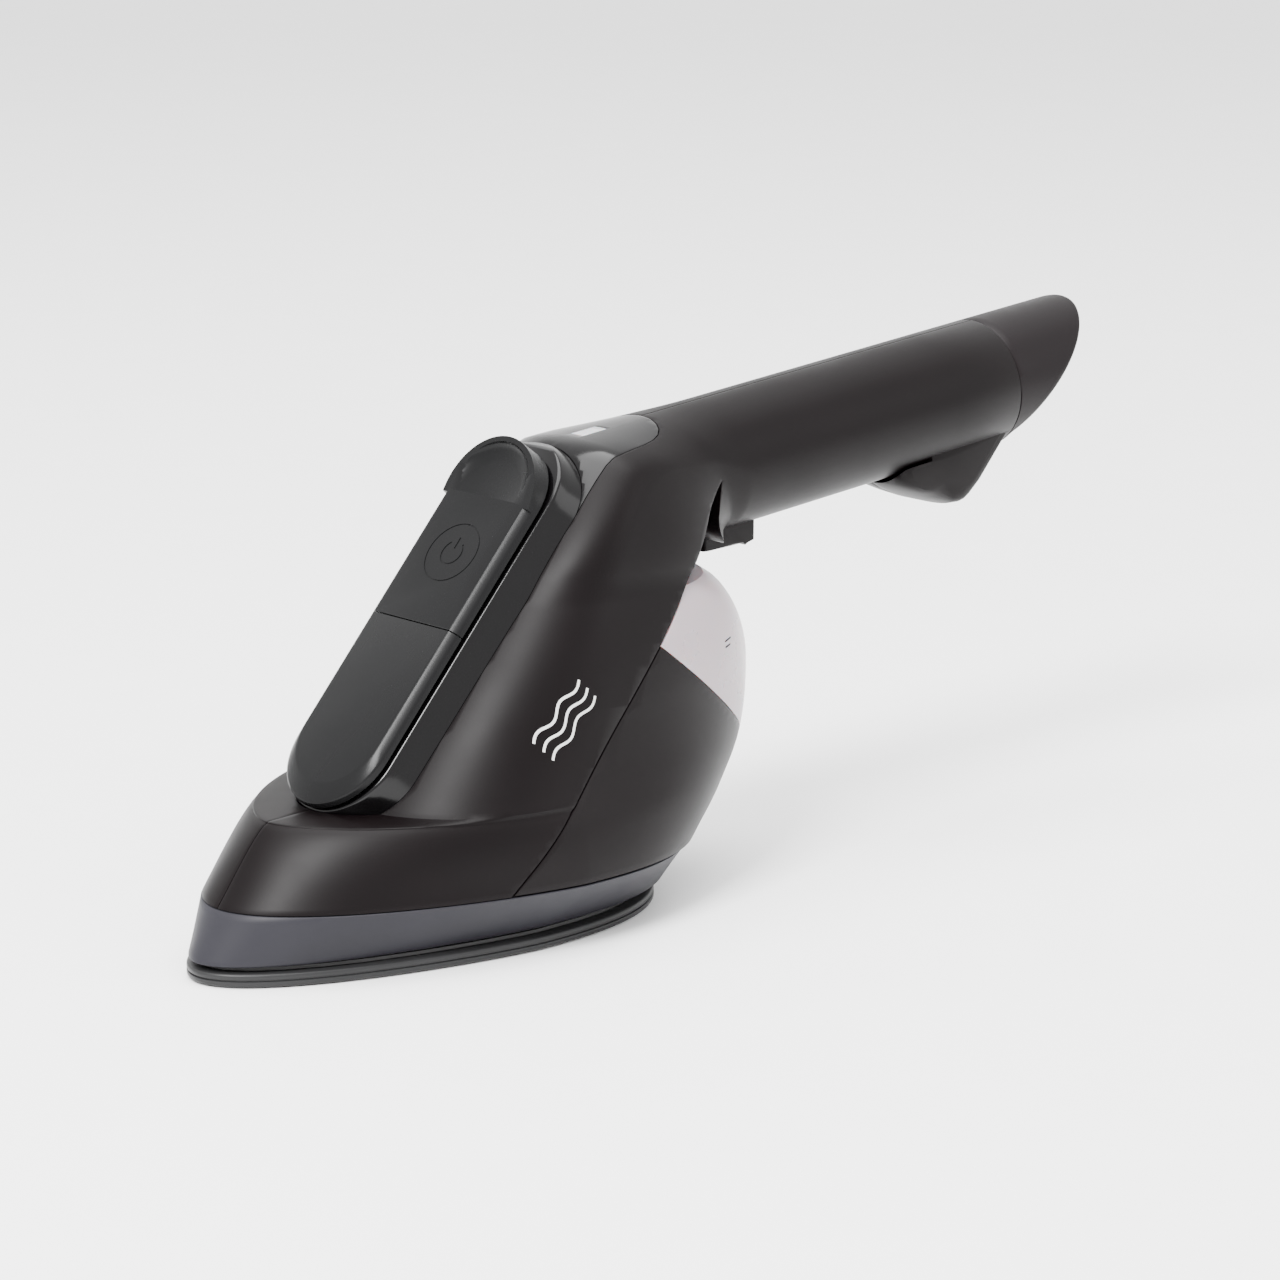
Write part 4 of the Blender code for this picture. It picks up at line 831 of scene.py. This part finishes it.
def make_tank():
    """The clear upper part, the black lower part and the filler's flap."""
    floor = HULL_FOOT + 0.2
    tank = tank_form("water_tank_skin", 0.0, floor)
    cut(tank, tank_form("tank_hollow", 2.0, floor + 2.0))
    base = tank.copy()
    base.data = tank.data.copy()
    bpy.context.scene.collection.objects.link(base)
    cut(tank, half_plane("split_low", TANK_SPLIT_POINT, TANK_SPLIT_ANGLE, -0.12, above=False))
    cut(tank, rod("filler_hole", (90, 0, FILLER_Z), (120, 0, FILLER_Z), FLAP_RADIUS + 0.3, 64))
    soften(tank, 0.5, 50, 3)
    show(tank, "water_tank", "clear_plastic", TANK_CLEAR, "water_tank")
    base.name = "tank_base_skin"
    cut(base, half_plane("split_high", TANK_SPLIT_POINT, TANK_SPLIT_ANGLE, -0.12, above=True))
    soften(base, 0.25, 42, 2)
    show(base, "water_tank", "matte_black", TANK_BLACK, "tank_base")
    flap = rod("filler_flap_skin", (103.6, 0, FILLER_Z), (120, 0, FILLER_Z), FLAP_RADIUS, 64)
    keep(flap, loft("flap_skin", tank_rings(0.0, floor)))
    soften(flap, 0.35, 50, 3)
    show(flap, "filler_flap", "rubber", DARK_RUBBER, "filler_flap")


# Printed marks, laid on the surface they belong to

def tree_of(obj):
    return BVHTree.FromObject(obj, bpy.context.evaluated_depsgraph_get())


def laid_ribbon(name, tree, path, width, lift=0.04):
    """A flat printed line, dropped sideways from -Y onto a surface; path holds (x, z) points."""
    bm = bmesh.new()
    rows = []
    for i, (x, z) in enumerate(path):
        a, b = path[max(i - 1, 0)], path[min(i + 1, len(path) - 1)]
        length = math.hypot(b[0] - a[0], b[1] - a[1])
        nx, nz = -(b[1] - a[1]) / length, (b[0] - a[0]) / length
        row = []
        for side in (-0.5, 0.5):
            px, pz = x + nx * width * side, z + nz * width * side
            hit, normal, _, _ = tree.ray_cast(Vector((px, -80, pz)) * MM, Vector((0, 1, 0)))
            row.append(bm.verts.new(hit + normal * lift * MM))
        rows.append(row)
    for a, b in zip(rows, rows[1:]):
        bm.faces.new((a[0], a[1], b[1], b[0]))
    bmesh.ops.solidify(bm, geom=bm.faces[:], thickness=0.03 * MM)
    mesh = bpy.data.meshes.new(name)
    bm.to_mesh(mesh)
    bm.free()
    mesh.shade_smooth()
    obj = bpy.data.objects.new(name, mesh)
    bpy.context.scene.collection.objects.link(obj)
    return obj


SIGN_CENTRE = (18.8, 58.9)
SIGN_REACH = 10.5               # half the length of each wavy line
SIGN_WAVE = 0.8


def make_marks(shell):
    """Three wavy steam lines on the near side, and two level strokes on the tank."""
    tree = tree_of(shell)
    lean = math.radians(41.0)
    along, across = (math.cos(lean), math.sin(lean)), (-math.sin(lean), math.cos(lean))
    for i, shift in enumerate((-3.0, 0.0, 3.0), 1):
        path = []
        for t in span(-1.0, 1.0, 61):
            u, v = t * SIGN_REACH, shift + SIGN_WAVE * math.sin(t * math.pi * 2.0)
            path.append(tuple(SIGN_CENTRE[k] + along[k] * u + across[k] * v for k in (0, 1)))
        mark = laid_ribbon(f"steam_sign_{i}", tree, path, 0.7)
        show(mark, "housing", "matte_black", DECAL)
    tank = bpy.data.objects["water_tank_skin"]
    tank_tree = tree_of(tank)
    for i, (length, drop) in enumerate(((3.6, 0.0), (3.0, 1.5)), 1):
        path = [(81.0 + t, 67.9 - drop + 0.1 * t) for t in span(0.0, length, 9)]
        mark = laid_ribbon(f"level_mark_{i}", tank_tree, path, 0.42)
        show(mark, "water_tank", "clear_plastic", MARK)


# Inner pieces keep their CAD shape

def finish_hidden():
    """Gives the CAD pieces that no fine piece stands for the material of their slot."""
    slots = {row["node"]: row["material_slot"] for row in frame["record"]["subparts"]}
    for node, obj in frame["nodes"].items():
        look = HIDDEN.get(slots.get(node))
        if look and obj.type == "MESH":
            obj.data.materials.clear()
            obj.data.materials.append(look)


# The studio

FLOOR_WIDE = 5.0
FLOOR_NEAR, FLOOR_FAR = -3.0, 2.2
SWEEP_RADIUS = 1.6
WORLD_STRENGTH = 2.0


def make_studio():
    """A pale floor that curves up into a backdrop far behind, under even white light."""
    bm = bmesh.new()
    rows = []
    for i in range(41):
        t = i / 40
        if t < 0.5:
            y, z = lerp(FLOOR_NEAR, FLOOR_FAR, t * 2), 0.0
        else:
            a = (t - 0.5) * math.pi
            y, z = FLOOR_FAR + SWEEP_RADIUS * math.sin(a), SWEEP_RADIUS * (1 - math.cos(a))
        rows.append([bm.verts.new((x, y, z)) for x in (-FLOOR_WIDE, FLOOR_WIDE)])
    for a, b in zip(rows, rows[1:]):
        bm.faces.new((a[0], a[1], b[1], b[0]))
    mesh = bpy.data.meshes.new("studio_floor")
    bm.to_mesh(mesh)
    bm.free()
    mesh.shade_smooth()
    floor = bpy.data.objects.new("studio_floor", mesh)
    floor.rotation_euler.z = math.radians(CAMERA_AZIMUTH)
    floor.location.z = -0.0002
    bpy.context.scene.collection.objects.link(floor)
    paint = surface("floor_white", (0.86, 0.86, 0.86), 0.6, bump=0.01, grain=60.0, tone=0.006)
    mesh.materials.append(paint)
    world = bpy.data.worlds.new("studio")
    world.use_nodes = True
    world.node_tree.nodes["Background"].inputs[0].default_value = (1.0, 1.0, 1.0, 1.0)
    world.node_tree.nodes["Background"].inputs[1].default_value = WORLD_STRENGTH
    bpy.context.scene.world = world


def area_light(name, place, target, size, power):
    lamp = bpy.data.lights.new(name, "AREA")
    lamp.shape = "RECTANGLE"
    lamp.size, lamp.size_y = size
    lamp.energy = power
    obj = bpy.data.objects.new(name, lamp)
    obj.location = place
    obj.rotation_euler = (Vector(target) - Vector(place)).to_track_quat("-Z", "Y").to_euler()
    bpy.context.scene.collection.objects.link(obj)


CAMERA_AZIMUTH = -42.616
CAMERA_ELEVATION = 13.602
CAMERA_DISTANCE = 1.2316
LENS = 129.56
LOOK_AT = Vector((0.078225, 0.0, 0.063482))


def make_camera():
    camera = bpy.data.cameras.new("camera")
    camera.lens = LENS
    camera.sensor_width = 36.0
    camera.clip_end = 50.0
    obj = bpy.data.objects.new("camera", camera)
    a, e = math.radians(CAMERA_AZIMUTH), math.radians(CAMERA_ELEVATION)
    away = Vector((math.sin(a) * math.cos(e), -math.cos(a) * math.cos(e), math.sin(e)))
    obj.location = LOOK_AT + away * CAMERA_DISTANCE
    obj.rotation_euler = (-away).to_track_quat("-Z", "Y").to_euler()
    bpy.context.scene.collection.objects.link(obj)
    bpy.context.scene.camera = obj


make_camera()
make_studio()
area_light("top_soft", (0.1, 0.0, 1.6), (0.08, 0, 0.05), (1.4, 1.4), 60)
area_light("key_soft", (-1.3, -0.5, 1.5), (0.08, 0, 0.05), (0.7, 0.7), 110)
area_light("right_soft", (1.0, -1.4, 0.9), (0.1, 0, 0.08), (0.8, 1.0), 8)
make_sole()
make_skirt()
housing = make_housing()
show(housing, "housing", "matte_black", BODY, "left_housing", "right_housing")
make_end_cap()
make_panel()
make_strip()
make_trigger()
make_tank()
make_marks(housing)
finish_hidden()
